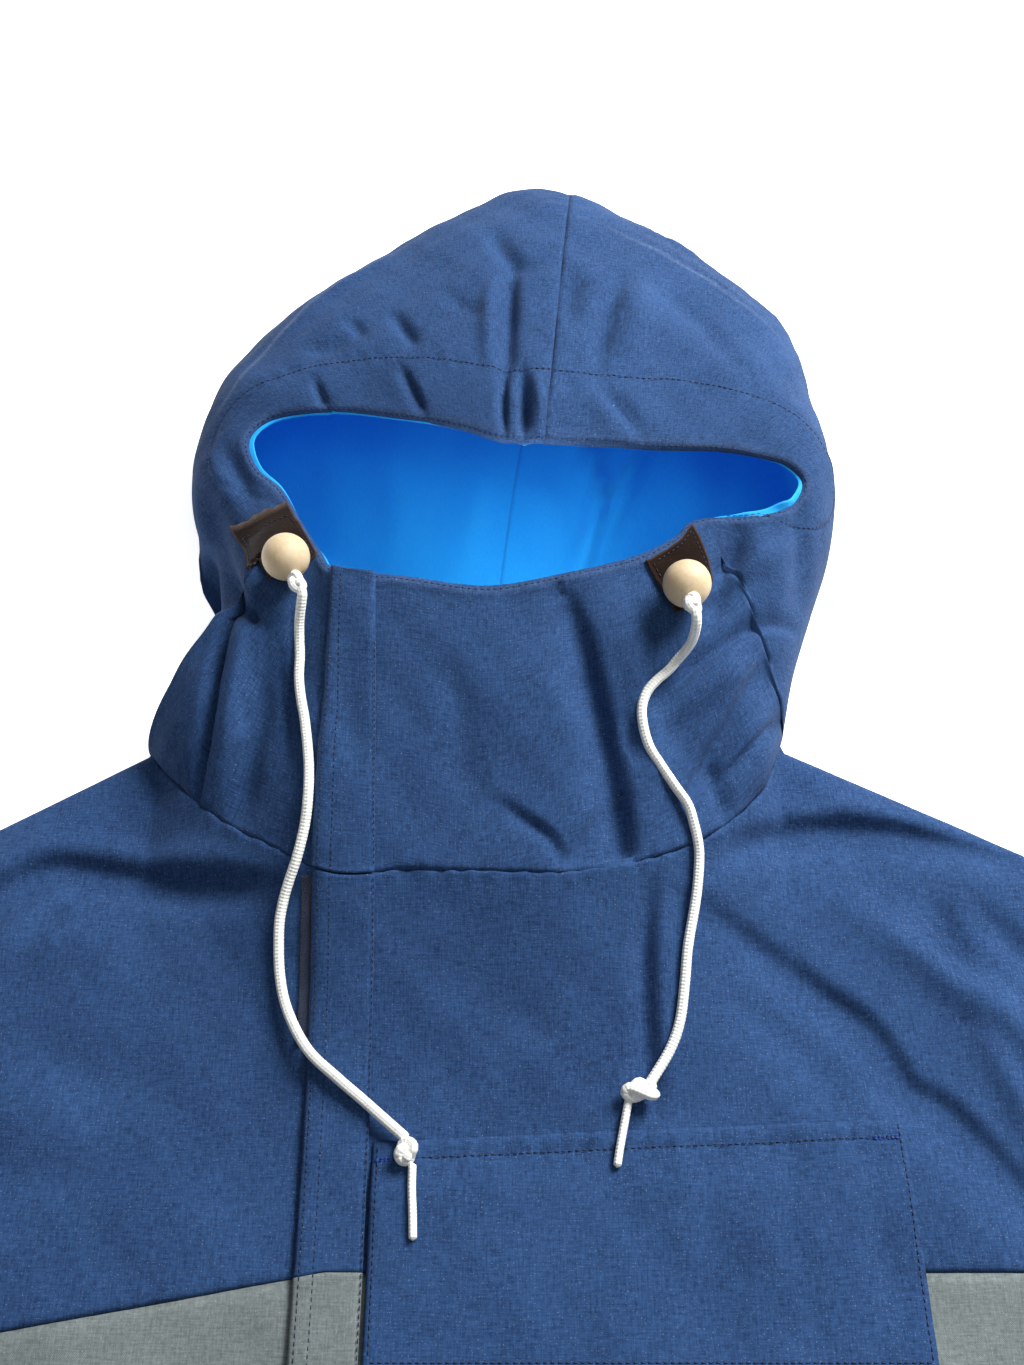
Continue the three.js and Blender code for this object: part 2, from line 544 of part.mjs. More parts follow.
// A knot is a plump closed ring of cord, drawn tight to a barrel.
function knotGeometry({ r, length }) {
  const profile = range(-Math.PI / 2, Math.PI / 2, 6).map((a) =>
    new THREE.Vector2(Math.max(0, r * Math.cos(a) ** 0.8), length * Math.sin(a)));
  profile[0].x = 0;
  profile[6].x = 0;
  return new THREE.LatheGeometry(profile, 12);
}

function tube(name, route, radius, steps, look) {
  const curve = new THREE.CatmullRomCurve3(route.map((p) => vec(...p)));
  const section = new THREE.Shape(range(0, 2 * Math.PI, CORD_SIDES).slice(0, CORD_SIDES).map((a) =>
    new THREE.Vector2(radius * Math.cos(a), radius * Math.sin(a))));
  const geometry = new THREE.ExtrudeGeometry(section, { steps, extrudePath: curve, bevelEnabled: false });
  const mesh = new THREE.Mesh(geometry, new THREE.MeshStandardMaterial({ ...COLOURS[look], metalness: 0 }));
  mesh.name = name;
  return mesh;
}

function drawcords() {
  const runs = [["right", CORD_RIGHT, TIP_RIGHT], ["left", CORD_LEFT, TIP_LEFT]];
  return runs.flatMap(([side, route, tip]) => {
    const { bead, bore, end_knot } = HARDWARE[side];
    const knot = vec(...bead).addScaledVector(vec(...bore).normalize(), BEAD_R + KNOT.length - KNOT_SEAT);
    const last = route[route.length - 1];
    const endAxis = [tip[0][0] - last[0], tip[0][1] - last[1], tip[0][2] - last[2]];
    return [
      solid("bead_" + side, beadGeometry(), "wood", bead, bore),
      solid("bead_knot_" + side, knotGeometry(KNOT), "cord", knot.toArray(), bore),
      tube("cord_" + side, route, CORD_R, 30, "cord"),
      solid("end_knot_" + side, knotGeometry(END_KNOT), "cord", end_knot, endAxis),
      tube("cord_tip_" + side, tip, TIP_R, 4, "cord"),
    ];
  });
}

const anorak = new THREE.Group();
anorak.add(...backs(), ...fronts(), sleeve("sleeve_left", 1), sleeve("sleeve_right", -1), ...hoodPanels(),
  ...placket(), ...pocket(), patch("patch_right", PATCH_RIGHT), patch("patch_left", PATCH_LEFT), ...drawcords());
export default anorak;
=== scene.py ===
"""A hooded anorak pullover laid out on its back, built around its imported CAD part.

Metres, in the part's own frame: +Y points from hem to hood, +X to the wearer's left, +Z up.
Tables of places are in millimetres, and MM turns them to metres.
"""

import math

import bpy
import numpy as np
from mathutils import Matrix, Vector


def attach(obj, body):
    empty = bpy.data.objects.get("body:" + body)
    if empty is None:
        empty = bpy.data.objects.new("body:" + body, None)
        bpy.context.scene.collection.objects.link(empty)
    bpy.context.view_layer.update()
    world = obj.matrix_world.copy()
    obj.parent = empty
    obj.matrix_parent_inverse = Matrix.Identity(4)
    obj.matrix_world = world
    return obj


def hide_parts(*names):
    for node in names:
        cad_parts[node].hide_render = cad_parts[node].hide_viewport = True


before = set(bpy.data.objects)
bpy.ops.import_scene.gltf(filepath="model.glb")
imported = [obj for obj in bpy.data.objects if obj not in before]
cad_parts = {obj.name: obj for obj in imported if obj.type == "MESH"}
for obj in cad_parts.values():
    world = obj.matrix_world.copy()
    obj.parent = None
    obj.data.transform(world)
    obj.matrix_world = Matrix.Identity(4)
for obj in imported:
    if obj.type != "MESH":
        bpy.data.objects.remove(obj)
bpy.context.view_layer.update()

bl_info = {
    "name": "Anorak Pullover",
    "version": (1, 0, 0),
    "blender": (4, 5, 0),
    "location": "3D View > Sidebar > Anorak",
    "description": "Builds a hooded anorak pullover piece by piece: cloth, lining, cords, beads and stitches",
    "category": "Object",
}

MM = 0.001

# Camera and lamps, in metres and degrees. Each lamp is (name, place, aim, width, watts).
CAMERA_PLACE = (0.022, -0.238, 0.647)
CAMERA_TILT = 29.1
LAMPS = [
    ("window", (1.05, 1.1, 1.4), (0.02, 0.05, 0), 0.9, 74),
    ("softbox", (0.3, -0.6, 1.6), (0.02, 0.05, 0), 0.6, 3),
    ("hood_lamp", (0.03, 0.155, 0.1), (0.01, 0.235, 0.01), 0.04, 0.09),
]

# Layers, in millimetres, as in the part
CLOTH = 1.4
LINING = 1.0
DOUBLE_CLOTH = 2.0
SUEDE = 1.2
SEAM_GAP = 0.3

# Body
HALF_CHEST = 308
HEM_Y = -640
ARMHOLE_Y = -235
HEM_TAPER = 0.025
FRONT_Z = 9.4
FOLD_Z = 3.1
FOLD_ROUND = 24
NECK_RISE_LENGTH = 150
NECK_SIDE_X = 170
NECK_SIDE_Y = 76
SHOULDER_SLOPE = 0.58
SHOULDER_SLOPE_LEFT = 0.5
COLOUR_SEAM_Y = -181
COLOUR_SEAM_X = -60
COLOUR_SEAM_DIP = 0.17
CUFF_X, CUFF_Y, CUFF_HALF, CUFF_ANGLE = 628, -492, 67, 50
SLEEVE_BOW = 10
SLEEVE_STEPS = 112

# Placket, pocket, flap and tape
PLACKET_T = 0.25
OPENING_T = 0.3
PLACKET_SEAM_T = 0.347
PLACKET_END_Y = -330
PLACKET_LIFT = 1.9
CREST_T = 1.57
POCKET_X0, POCKET_X1, POCKET_TOP, POCKET_BOTTOM = -38, 200, -156, -392
FLAP_X0, FLAP_X1, FLAP_TOP, FLAP_RISE, FLAP_BOTTOM = -42, 203.5, -126, 0.044, -219
FLAP_LIFT = 2.4
LAYER_GAP = 0.5
HOOD_ROWS = 14
FLOOR_BOW = 22

# The edge of the face opening: t, x, y, z. t counts 0 to 1 along the front and 1 to 2 back over the crown.
MOUTH_EDGE = np.array([
    (0, -90, 180, 73), (0.12, -78, 157, 79), (0.25, -69, 143, 84), (0.4, -30, 136, 86), (0.5, 8, 130, 87),
    (0.62, 52, 139, 86), (0.75, 85, 150, 84), (0.88, 106, 163, 82), (1, 123, 177, 80), (1.05, 142, 178, 80),
    (1.11, 160, 181, 80), (1.16, 172, 188, 80), (1.2, 177, 199, 82), (1.24, 170, 206, 87), (1.3, 155, 208, 93),
    (1.38, 131, 207, 100), (1.47, 99, 204, 105), (1.57, 39, 206, 108), (1.62, 16, 209, 106),
    (1.68, -5, 220, 102), (1.75, -38, 234, 94), (1.82, -83, 247, 84), (1.87, -113, 246, 76),
    (1.905, -123, 236, 71), (1.94, -117, 219, 68), (1.97, -103, 205, 68), (2, -90, 180, 73),
], float)
# The fold where the hood turns under, over the crown
HOOD_FOLD = np.array([
    (1, 167, 80, 3), (1.05, 174, 112, 12), (1.11, 188, 152, 16), (1.17, 200, 185, 20), (1.24, 206, 225, 24),
    (1.32, 200, 285, 28), (1.38, 187, 345, 33), (1.42, 161, 376, 38), (1.5, 102, 428, 42), (1.57, 60, 454, 42),
    (1.61, 34, 460, 42), (1.65, -3, 441, 42), (1.7, -50, 407, 40), (1.77, -103, 367, 36),
    (1.83, -143, 318, 31), (1.87, -159, 280, 27), (1.905, -164, 240, 24), (1.94, -157, 203, 21),
    (1.965, -143, 178, 18), (1.98, -141, 135, 13), (2, -173, 75, 3),
], float)
# The neck seam, in front on the chest and behind on the surface
NECK_FRONT = np.array([
    (0, -173, 75, 3), (0.07, -149, 47, 21), (0.14, -122, 24, 32), (0.2, -94, 7, 40), (0.25, -74, -4, 44),
    (0.4, -28, -6.5, 46.5), (0.5, 5, -7, 47), (0.62, 50, -7, 46), (0.7, 84, 0, 42.5), (0.78, 108, 9, 38),
    (0.86, 132, 25, 31), (0.93, 152, 47, 21), (1, 167, 80, 3),
], float)
NECK_BACK = np.array([
    (1, 167, 80, 3), (1.04, 160, 77, 1), (1.1, 140, 72, 0), (1.57, 0, 62, 0), (1.9, -146, 68, 0),
    (1.96, -165, 72, 1), (2, -173, 75, 3),
], float)

# Routes of the cords from the knot under the bead to the knot near the tip, in metres
CORD_RIGHT = [
    (-0.0832, 0.1249, 0.0889), (-0.0833, 0.1216, 0.0866), (-0.0843, 0.1176, 0.0822), (-0.0852, 0.1132, 0.0772),
    (-0.0853, 0.1071, 0.0728), (-0.0848, 0.0982, 0.0696), (-0.0848, 0.0881, 0.0672), (-0.0833, 0.0773, 0.065),
    (-0.0806, 0.0649, 0.0632), (-0.0776, 0.0443, 0.0602), (-0.077, 0.028, 0.0576), (-0.0784, 0.0139, 0.0522),
    (-0.0819, -0.0002, 0.0462), (-0.0858, -0.0103, 0.0403), (-0.0886, -0.0194, 0.0356), (-0.0902, -0.0313, 0.031),
    (-0.0889, -0.0517, 0.0253), (-0.0841, -0.0686, 0.0226), (-0.0731, -0.0869, 0.0242),
    (-0.0584, -0.0998, 0.0232), (-0.047, -0.1087, 0.0212), (-0.0386, -0.1153, 0.0182), (-0.0279, -0.1239, 0.0166),
]
CORD_LEFT = [
    (0.1118, 0.1068, 0.098), (0.1121, 0.1034, 0.0961), (0.112, 0.1012, 0.092), (0.1116, 0.1004, 0.086),
    (0.1108, 0.0998, 0.08), (0.1084, 0.0986, 0.0738), (0.1045, 0.0956, 0.0696), (0.1008, 0.0916, 0.068),
    (0.0941, 0.0856, 0.0673), (0.0893, 0.0797, 0.0666), (0.0866, 0.0721, 0.0651), (0.0869, 0.0633, 0.0626),
    (0.0897, 0.0534, 0.0592), (0.095, 0.0453, 0.0556), (0.1023, 0.0356, 0.0508), (0.1087, 0.0273, 0.0465),
    (0.1116, 0.0183, 0.0427), (0.1134, 0.0101, 0.0395), (0.1137, 0.0015, 0.0362), (0.1116, -0.0154, 0.0316),
    (0.1069, -0.0374, 0.0266), (0.1048, -0.0535, 0.023), (0.1017, -0.0718, 0.0196), (0.0963, -0.0854, 0.0176),
    (0.0868, -0.0998, 0.0168),
]
TIP_RIGHT = [
    (-0.0231, -0.1386, 0.0161), (-0.023, -0.147, 0.0161), (-0.0223, -0.157, 0.0162), (-0.0217, -0.1686, 0.0162),
]
TIP_LEFT = [
    (0.0756, -0.11, 0.015), (0.0736, -0.1188, 0.0148), (0.0713, -0.1287, 0.0151), (0.0695, -0.1378, 0.0153),
]
HARDWARE = {
    "right": {"bead": (-92.8, 145.4, 89.4), "bore": (0.43, -0.9, 0), "end_knot": (-25.2, -131.4, 18.2),
              "pull": (-0.35, -1, 0), "end_size": (14, 13.5), "bead_size": (11.5, 13)},
    "left": {"bead": (109.6, 128.2, 90.8), "bore": (0.1, -0.93, 0.35), "end_knot": (81.2, -104.9, 18.2),
             "pull": (-0.12, -1, 0), "end_size": (19, 12.5), "bead_size": (12, 14)},
}
# A pulled knot squeezes its cord
KNOT_CORD_RADIUS = {"bead": 0.0023, "end": 0.0024}
# Suede patches: (t, row) on the hood of the ends of their first and last edges
PATCHES = {
    "right": (((1.981, 0.15), (1.965, 2.55)), ((2.14, 0.15), (2.045, 3))),
    "left": (((0.775, 0.45), (0.835, 3.6)), ((0.965, 0.3), (0.955, 3.3))),
}
PATCH_LIFT = 0.9

# ---- creases ----
# Each fold is (height, width, sharp side, route). Height and width are in millimetres, a trough's height
# is below zero, and the sharp side is 1 or -1 where one flank of it is steep, seen along its route.
HOOD_FOLDS = [
    (-10.2, 4.5, 1, [(-121, 146), (-124, 124), (-127, 102), (-131, 74), (-138, 44), (-142, 30)]),
    (-2.9, 3, 0, [(-90, 122), (-92, 100), (-91, 74), (-88, 52)]),
    (-4.1, 7, 0, [(-104, 96), (-106, 70), (-112, 40), (-114, 24)]),
    (5.3, 6, 0, [(-113, 136), (-116, 108), (-120, 76), (-127, 46)]),
    (-3.4, 3, 0, [(-113, 128), (-110, 118)]),
    (-1.8, 3, 0, [(-115, 84), (-112, 66)]),
    (-12, 11, 1, [(50, 124), (58, 104), (64, 80), (70, 52), (75, 22), (78, -4), (79, -22)]),
    (4.1, 8, 0, [(78, 112), (84, 88), (90, 62), (94, 36)]),
    (-4.1, 6, 1, [(16, 25), (30, 16), (41, 8), (48, -5)]),
    (-4.1, 6, -1, [(66, 24), (60, 12), (54, 2), (48, -5)]),
    (-5.4, 6, -1, [(88, 72), (112, 92), (134, 108), (150, 119), (172, 127)]),
    (3.7, 7, 0, [(96, 66), (118, 84), (140, 98)]),
    (-7.4, 9, 1, [(108, 29), (122, 53), (137, 76), (156, 104)]),
    (-4.7, 4, 1, [(128, 42), (145, 60), (163, 82)]),
    (-4.3, 5, 0, [(123, 50), (130, 23)]),
    (-2.9, 3.5, 0, [(79, 72), (81, 48)]),
    (-11, 7, 0, [(142, 174), (135, 152), (128, 132), (122, 118)]),
    (-10.1, 6, 0, [(-138, 166), (-125, 137), (-118, 124)]),
    (-5.8, 3.5, 0, [(-117, 131), (-109, 119)]),
    (5.8, 6, 0, [(116, 126), (137, 143), (160, 162)]),
    (-7.5, 5, 0, [(21, 344), (20, 320), (19, 286), (19, 252)]),
    (3.8, 5, 0, [(10, 330), (9, 300), (10, 262)]),
    (-6.3, 3, 1, [(19, 254), (18, 235), (19, 208)]),
    (-9.3, 4, -1, [(27, 254), (28, 230), (27, 205)]),
    (5.1, 4, 0, [(35, 250), (37, 230), (38, 208)]),
    (-5.4, 6, 0, [(10, 382), (16, 362), (24, 346), (36, 340)]),
    (-4.2, 6, 0, [(58, 336), (55, 318), (54, 296)]),
    (-5.8, 6, 1, [(86, 340), (78, 306), (73, 284), (68, 256)]),
    (3.8, 8, 0, [(96, 332), (91, 300), (84, 268)]),
    (-3, 3, 0, [(47, 251), (52, 244), (57, 238)]),
    (-4.2, 5, 1, [(70, 245), (82, 228), (94, 210)]),
    (3.3, 5, 0, [(62, 240), (72, 224), (80, 210)]),
    (-4.2, 4, 0, [(-46, 312), (-38, 296), (-31, 282)]),
    (-3, 4, 0, [(-73, 314), (-66, 304), (-62, 296)]),
    (-3.3, 3.5, 1, [(-88, 271), (-84, 260), (-79, 249)]),
    (-4.2, 4, 1, [(-39, 269), (-31, 251), (-25, 236)]),
    (-3, 6, 0, [(-20, 330), (-6, 312), (6, 300)]),
    (-2.5, 6, 0, [(-96, 300), (-84, 292), (-70, 300)]),
    (3.3, 9, 0, [(-120, 310), (-84, 350), (-46, 384)]),
    (3.3, 9, 0, [(96, 404), (130, 372), (158, 330)]),
    (-3.3, 8, 0, [(108, 330), (130, 300), (150, 262)]),
    (-4.2, 6, 0, [(-140, 236), (-128, 214), (-118, 196)]),
    (-4.3, 7, 0, [(-152, 216), (-138, 178), (-136, 140)]),
    (-4.1, 7, 0, [(172, 190), (176, 160), (170, 132)]),
    (-2.6, 9, 0, [(-60, 100), (-58, 70), (-56, 40)]),
    (-2.4, 9, 0, [(-10, 96), (-4, 60), (2, 30)]),
]
# Painted sheen: pale lines along the crown's top edges, where light catches the cloth, written as folds are, with the
# amount of paling as height
SHEEN_LINES = [
    (0.55, 1.5, 0, [(-40, 392), (-89, 348), (-124, 300), (-146, 262)]),
    (0.45, 1.4, 0, [(77, 391), (108, 368), (137, 345), (176, 308)]),
    (0.18, 3, 0, [(-60, 392), (-110, 340), (-140, 296)]),
    (0.18, 3, 0, [(90, 396), (130, 364), (172, 322)]),
]
BODY_FOLDS = [
    (6, 10, -1, [(-266, -16), (-240, 4), (-214, 16), (-186, 13), (-156, 8), (-118, 3), (-90, -2)]),
    (5.5, 9, -1, [(110, 12), (136, 25), (171, 36), (212, 36), (246, 29), (284, 18)]),
    (3.4, 12, 0, [(-262, -52), (-236, -34), (-206, -30), (-180, -34)]),
    (-11.2, 10, 0, [(-262, -30), (-237, -8), (-214, 6), (-190, 4), (-160, -1), (-120, -7), (-84, -11)]),
    (-3.9, 7, 0, [(-226, -40), (-203, -11)]),
    (-9.4, 10, 0, [(112, 4), (136, 17), (171, 27), (212, 26), (250, 21), (284, 14)]),
    (-6.2, 5, 0, [(92, 4), (87, -22), (85, -48), (86, -84), (87, -112)]),
    (2.5, 5, 0, [(98, 0), (95, -30), (94, -70), (96, -106)]),
    (-9.5, 12, 1, [(110, -14), (148, -38), (171, -56), (194, -75), (208, -101), (225, -112), (250, -142),
                   (268, -172)]),
    (7.8, 11, 0, [(190, -10), (229, -44), (256, -66), (280, -92)]),
    (-6.2, 8, 0, [(236, -6), (239, -29), (245, -54)]),
    (-5.2, 7, 0, [(254, -12), (273, -35), (288, -54)]),
    (4.5, 7, 0, [(245, -72), (256, -99), (264, -124)]),
    (-2.8, 14, 0, [(-246, -60), (-200, -90), (-150, -100)]),
    (-2.5, 12, 0, [(-250, -120), (-200, -140), (-140, -138)]),
    (-2.2, 12, 0, [(-16, -40), (10, -64), (44, -82)]),
    (-2.1, 9, 0, [(130, -60), (160, -84), (180, -110)]),
    (-7.8, 15, 0, [(-296, -150), (-240, -240), (-150, -330), (-60, -380)]),
    (6, 14, 0, [(-300, -190), (-250, -280), (-180, -360)]),
    (-7, 16, 0, [(300, -200), (240, -270), (216, -330), (222, -420)]),
    (-5.2, 14, 0, [(-200, -620), (-190, -540), (-210, -460)]),
    (-6, 13, 0, [(90, -634), (110, -560), (84, -480), (96, -420)]),
    (4.9, 13, 0, [(-60, -636), (-44, -560), (-70, -470)]),
    (-5.2, 12, 0, [(240, -630), (226, -560), (250, -500)]),
]
SLEEVE_FOLDS = [
    (-6, 13, 1, [(316, -40), (352, -92), (368, -150), (350, -206)]),
    (4.3, 12, 0, [(332, -20), (378, -78), (402, -150)]),
    (-4.8, 12, 0, [(330, -240), (380, -232), (430, -200), (452, -170)]),
    (-5.5, 13, -1, [(390, -300), (440, -296), (486, -270), (508, -240)]),
    (3.8, 11, 0, [(412, -330), (458, -322), (500, -296)]),
    (-4.3, 11, 0, [(470, -400), (520, -380), (560, -340)]),
    (-3.6, 10, 0, [(520, -470), (560, -430), (600, -400)]),
    (3.1, 9, 0, [(548, -490), (590, -448), (620, -420)]),
    (-2.9, 8, 0, [(600, -500), (612, -470), (640, -436)]),
]
FLAP_FOLDS = [
    (-1.3, 7, 0, [(108, -126), (112, -160), (106, -214)]),
    (1.1, 8, 0, [(128, -132), (132, -170), (126, -216)]),
    (-1.2, 6, 0, [(152, -124), (148, -160), (154, -214)]),
    (1, 7, 0, [(170, -130), (174, -170), (168, -214)]),
    (-1.1, 6, 0, [(188, -124), (186, -160), (190, -206)]),
    (-0.8, 9, 0, [(20, -150), (40, -176), (30, -212)]),
    (0.8, 10, 0, [(60, -140), (70, -180), (62, -216)]),
]
# Folds of the lining where it lies in the hood, and their heights above it
LINING_FOLDS = [
    (12, 7, 1, [(58, 306), (70, 270), (75, 244), (70, 214), (58, 184)]),
    (9, 6, -1, [(106, 304), (93, 268), (84, 240), (72, 204)]),
    (-3, 5, 0, [(84, 262), (80, 236), (70, 204)]),
    (3.4, 5, 1, [(14, 262), (34, 246), (54, 230)]),
    (4, 12, 0, [(-64, 300), (-50, 262), (-44, 214)]),
    (3, 10, 0, [(-4, 290), (2, 250), (-4, 200)]),
    (5, 12, 0, [(128, 290), (134, 250), (120, 206)]),
    (3, 14, 0, [(-90, 290), (-86, 250), (-76, 206)]),
]
# Seams of the lining: the two facings' and the one down the middle
LINING_SEAMS = [
    [(-104, 318), (-103, 290), (-101, 262), (-99, 232), (-98, 206)],
    [(33, 318), (32, 286), (29, 259), (25, 226), (22, 190)],
    [(150, 300), (155, 276), (159, 252), (150, 228), (136, 206)],
]


def smooth(a, b, v):
    s = np.clip((np.asarray(v, float) - a) / (b - a), 0, 1)
    return s * s * (3 - 2 * s)


def mix(a, b, s):
    return a + (b - a) * s


def unit(v):
    return v / np.maximum(np.linalg.norm(v, axis=-1, keepdims=True), 1e-12)


def along(table, t):
    """A smooth curve through a table's rows, read at t."""
    t = np.clip(np.asarray(t, float), table[0, 0], table[-1, 0])
    k = np.clip(np.searchsorted(table[:, 0], t, side="right") - 1, 0, len(table) - 2)
    gaps = np.diff(table[:, 0])
    rises = np.diff(table[:, 1:], axis=0) / gaps[:, None]
    slopes = np.vstack([rises[:1], (rises[:-1] * gaps[1:, None] + rises[1:] * gaps[:-1, None])
                        / (gaps[1:] + gaps[:-1])[:, None], rises[-1:]])
    s = ((t - table[k, 0]) / gaps[k])[..., None]
    rise = gaps[k][..., None] * (slopes[k] * s * (1 - s) ** 2 - slopes[k + 1] * s * s * (1 - s))
    return mix(table[k, 1:], table[k + 1, 1:], s * s * (3 - 2 * s)) + rise


def distances(points):
    """How far each point lies along a line of points."""
    return np.concatenate([[0], np.cumsum(np.linalg.norm(np.diff(points, axis=0), axis=1))])


def column_distances(grid):
    """How far each point lies down its column of a grid."""
    steps = np.linalg.norm(np.diff(grid, axis=1), axis=2)
    return np.concatenate([np.zeros((len(grid), 1)), np.cumsum(steps, 1)], 1)


def smooth_route(points, per_span=8):
    """Points along a Catmull-Rom curve through a route."""
    p = np.array(points, float)
    p = np.vstack([2 * p[0] - p[1], p, 2 * p[-1] - p[-2]])
    s = np.linspace(0, 1, per_span, endpoint=False)[:, None]
    spans = [0.5 * (2 * b + (c - a) * s + (2 * a - 5 * b + 4 * c - d) * s ** 2 + (3 * b - a - 3 * c + d) * s ** 3)
             for a, b, c, d in zip(p[:-3], p[1:-2], p[2:-1], p[3:])]
    return np.vstack([*spans, p[-2:-1]])


# ---- the garment's surfaces, in millimetres ----

FINE = 4  # each turn of a hood line is drawn this many times finer than in the part


def hood_line(t):
    """Points of the hood from the face opening to the neck seam at t, their distances, and the rows' marks."""
    mouth = along(MOUTH_EDGE, t)
    if t <= 1:
        neck = along(NECK_FRONT, t)
        blend = max(1 - smooth(0, 0.2, t), smooth(0.75, 1, t))
        r = np.linspace(0, 1, 40 * FINE + 1)[:, None]
        turn = r * math.pi / 2
        arc = np.hstack([mix(mouth[:2], neck[:2], np.sin(turn)), mix(neck[2], mouth[2], np.cos(turn))])
        points = mix(mix(mouth, neck, r), arc, blend)
        marks = None
    else:
        fold = along(HOOD_FOLD, t)
        neck = along(NECK_BACK, t)
        turn = np.linspace(0, math.pi / 2, 30 * FINE + 1)[:, None]
        over = np.hstack([mix(mouth[:2], fold[:2], np.sin(turn)), mix(fold[2], mouth[2], np.cos(turn))])
        inward = neck[:2] - fold[:2]
        reach = min(fold[2], np.linalg.norm(inward) * 0.45)
        inward = inward / np.linalg.norm(inward)
        turn = np.linspace(0, math.pi / 2, 12 * FINE + 1)[1:, None]
        under = np.hstack([fold[:2] + inward * reach * (1 - np.cos(turn)),
                           mix(neck[2], fold[2], 1 - np.sin(turn))])
        r = np.linspace(0, 1, 12 * FINE + 1)[1:, None]
        floor = mix(under[-1], neck, r)
        floor[:, :1] -= FLOOR_BOW * np.sin(math.pi * r) * np.clip(floor[:, :1] / 100, -1, 1)
        points = np.vstack([over, under, floor])
        marks = np.array([0, 5, 10, 15, 19, 23, 27, 30, 34, 38, 42, 45, 48, 51, 54]) * FINE
    return points, distances(points), marks


def hood_points(t, rows):
    """Points of the hood at t, for rows from the face opening, 0, to the neck seam, 14."""
    t = t % 2
    points, lengths, marks = hood_line(t)
    share = np.asarray(rows, float) / HOOD_ROWS
    if marks is not None:
        near = np.interp(rows, np.arange(HOOD_ROWS + 1), lengths[marks] / lengths[-1])
        crown = smooth(1, 1.14, t) * (1 - smooth(1.9, 2, t))
        share = mix(share, near, crown)
    at = share * lengths[-1]
    return np.stack([np.interp(at, lengths, points[:, k]) for k in range(3)], axis=-1)


def hood_slopes(ts, rows):
    """Which way the hood runs down at each point."""
    lo = np.maximum(rows - 0.05, 0)
    hi = np.minimum(rows + 0.05, HOOD_ROWS)
    return np.stack([hood_points(t, hi) - hood_points(t, lo) for t in ts])


def hood_grid(ts, rows):
    """(points, outward normals) of the hood: one column for each t."""
    rows = np.asarray(rows, float)
    grid = np.stack([hood_points(t, rows) for t in ts])
    ahead = np.stack([hood_points(t + 0.002, rows) for t in ts])
    behind = np.stack([hood_points(t - 0.002, rows) for t in ts])
    down = hood_slopes(ts, rows)
    return grid, unit(np.cross(down, ahead - behind))


def shoulder_y(x):
    slope = np.where(np.asarray(x) > 0, SHOULDER_SLOPE_LEFT, SHOULDER_SLOPE)
    return NECK_SIDE_Y - slope * (np.abs(x) - NECK_SIDE_X)


def colour_seam_y(x):
    return COLOUR_SEAM_Y - COLOUR_SEAM_DIP * np.maximum(0, COLOUR_SEAM_X - np.asarray(x, float))


def taper(y):
    return 1 - HEM_TAPER * smooth(ARMHOLE_Y, HEM_Y, y)


def rounded(d):
    return np.sqrt(1 - (1 - np.clip(d / FOLD_ROUND, 0, 1)) ** 2)


NECK_LINE = along(NECK_FRONT, np.linspace(0, 1, 481))


def neck_at(x):
    """(y, z) of the neck seam over x."""
    return np.interp(x, NECK_LINE[:, 0], NECK_LINE[:, 1]), np.interp(x, NECK_LINE[:, 0], NECK_LINE[:, 2])


def over_neck(x):
    return (x > NECK_LINE[0, 0]) & (x < NECK_LINE[-1, 0])


def body_top(x):
    """The upper edge of the laid body over x: the neck seam, and the shoulders beside it."""
    x = np.asarray(x, float)
    return np.where(over_neck(x), neck_at(x)[0] - 2, shoulder_y(x))


def front_top(x, y):
    """Top of the front panels over (x, y)."""
    x, y = np.asarray(x, float), np.asarray(y, float)
    neck_y = np.where(over_neck(x), neck_at(x)[0], shoulder_y(x))
    neck_z = np.where(over_neck(x), neck_at(x)[1], FOLD_Z)
    side = mix(1, rounded(HALF_CHEST - np.abs(x)), smooth(ARMHOLE_Y + 14, ARMHOLE_Y - 20, y))
    below = np.maximum(0, neck_y - y)
    edge = rounded(below + np.maximum(0, neck_z - FOLD_Z) * 3)
    lying = mix(FOLD_Z, FRONT_Z, np.minimum(side, edge))
    return lying + np.maximum(0, neck_z - FRONT_Z) * np.maximum(0, 1 - below / NECK_RISE_LENGTH) ** 2


def relief(x, y, folds):
    """Height of the folds over (x, y): each fades at its ends, and one flank may be steep."""
    x, y = np.asarray(x, float), np.asarray(y, float)
    height = np.zeros(x.shape)
    for tall, width, sharp, route in folds:
        line = smooth_route(route, 6)
        reach = 3 * width
        near = ((x > line[:, 0].min() - reach) & (x < line[:, 0].max() + reach)
                & (y > line[:, 1].min() - reach) & (y < line[:, 1].max() + reach))
        if not near.any():
            continue
        p = np.stack([x[near], y[near]], axis=-1)
        a, b = line[:-1], line[1:]
        d = b - a
        s = np.clip(((p[:, None] - a) * d).sum(-1) / (d * d).sum(-1), 0, 1)
        off = p[:, None] - (a + s[..., None] * d)
        gap = np.linalg.norm(off, axis=-1)
        best = gap.argmin(1)
        rows = np.arange(len(p))
        away = gap[rows, best]
        where = (best + s[rows, best]) / len(a)
        side = np.sign(d[best, 0] * off[rows, best, 1] - d[best, 1] * off[rows, best, 0])
        wide = np.where(side * sharp > 0, width * 0.45, width)
        fade = np.sin(math.pi * np.clip(mix(0.04, 0.96, where), 0, 1)) ** 0.7
        height[near] += tall * fade * np.exp(-((away / wide) ** 2))
    return height


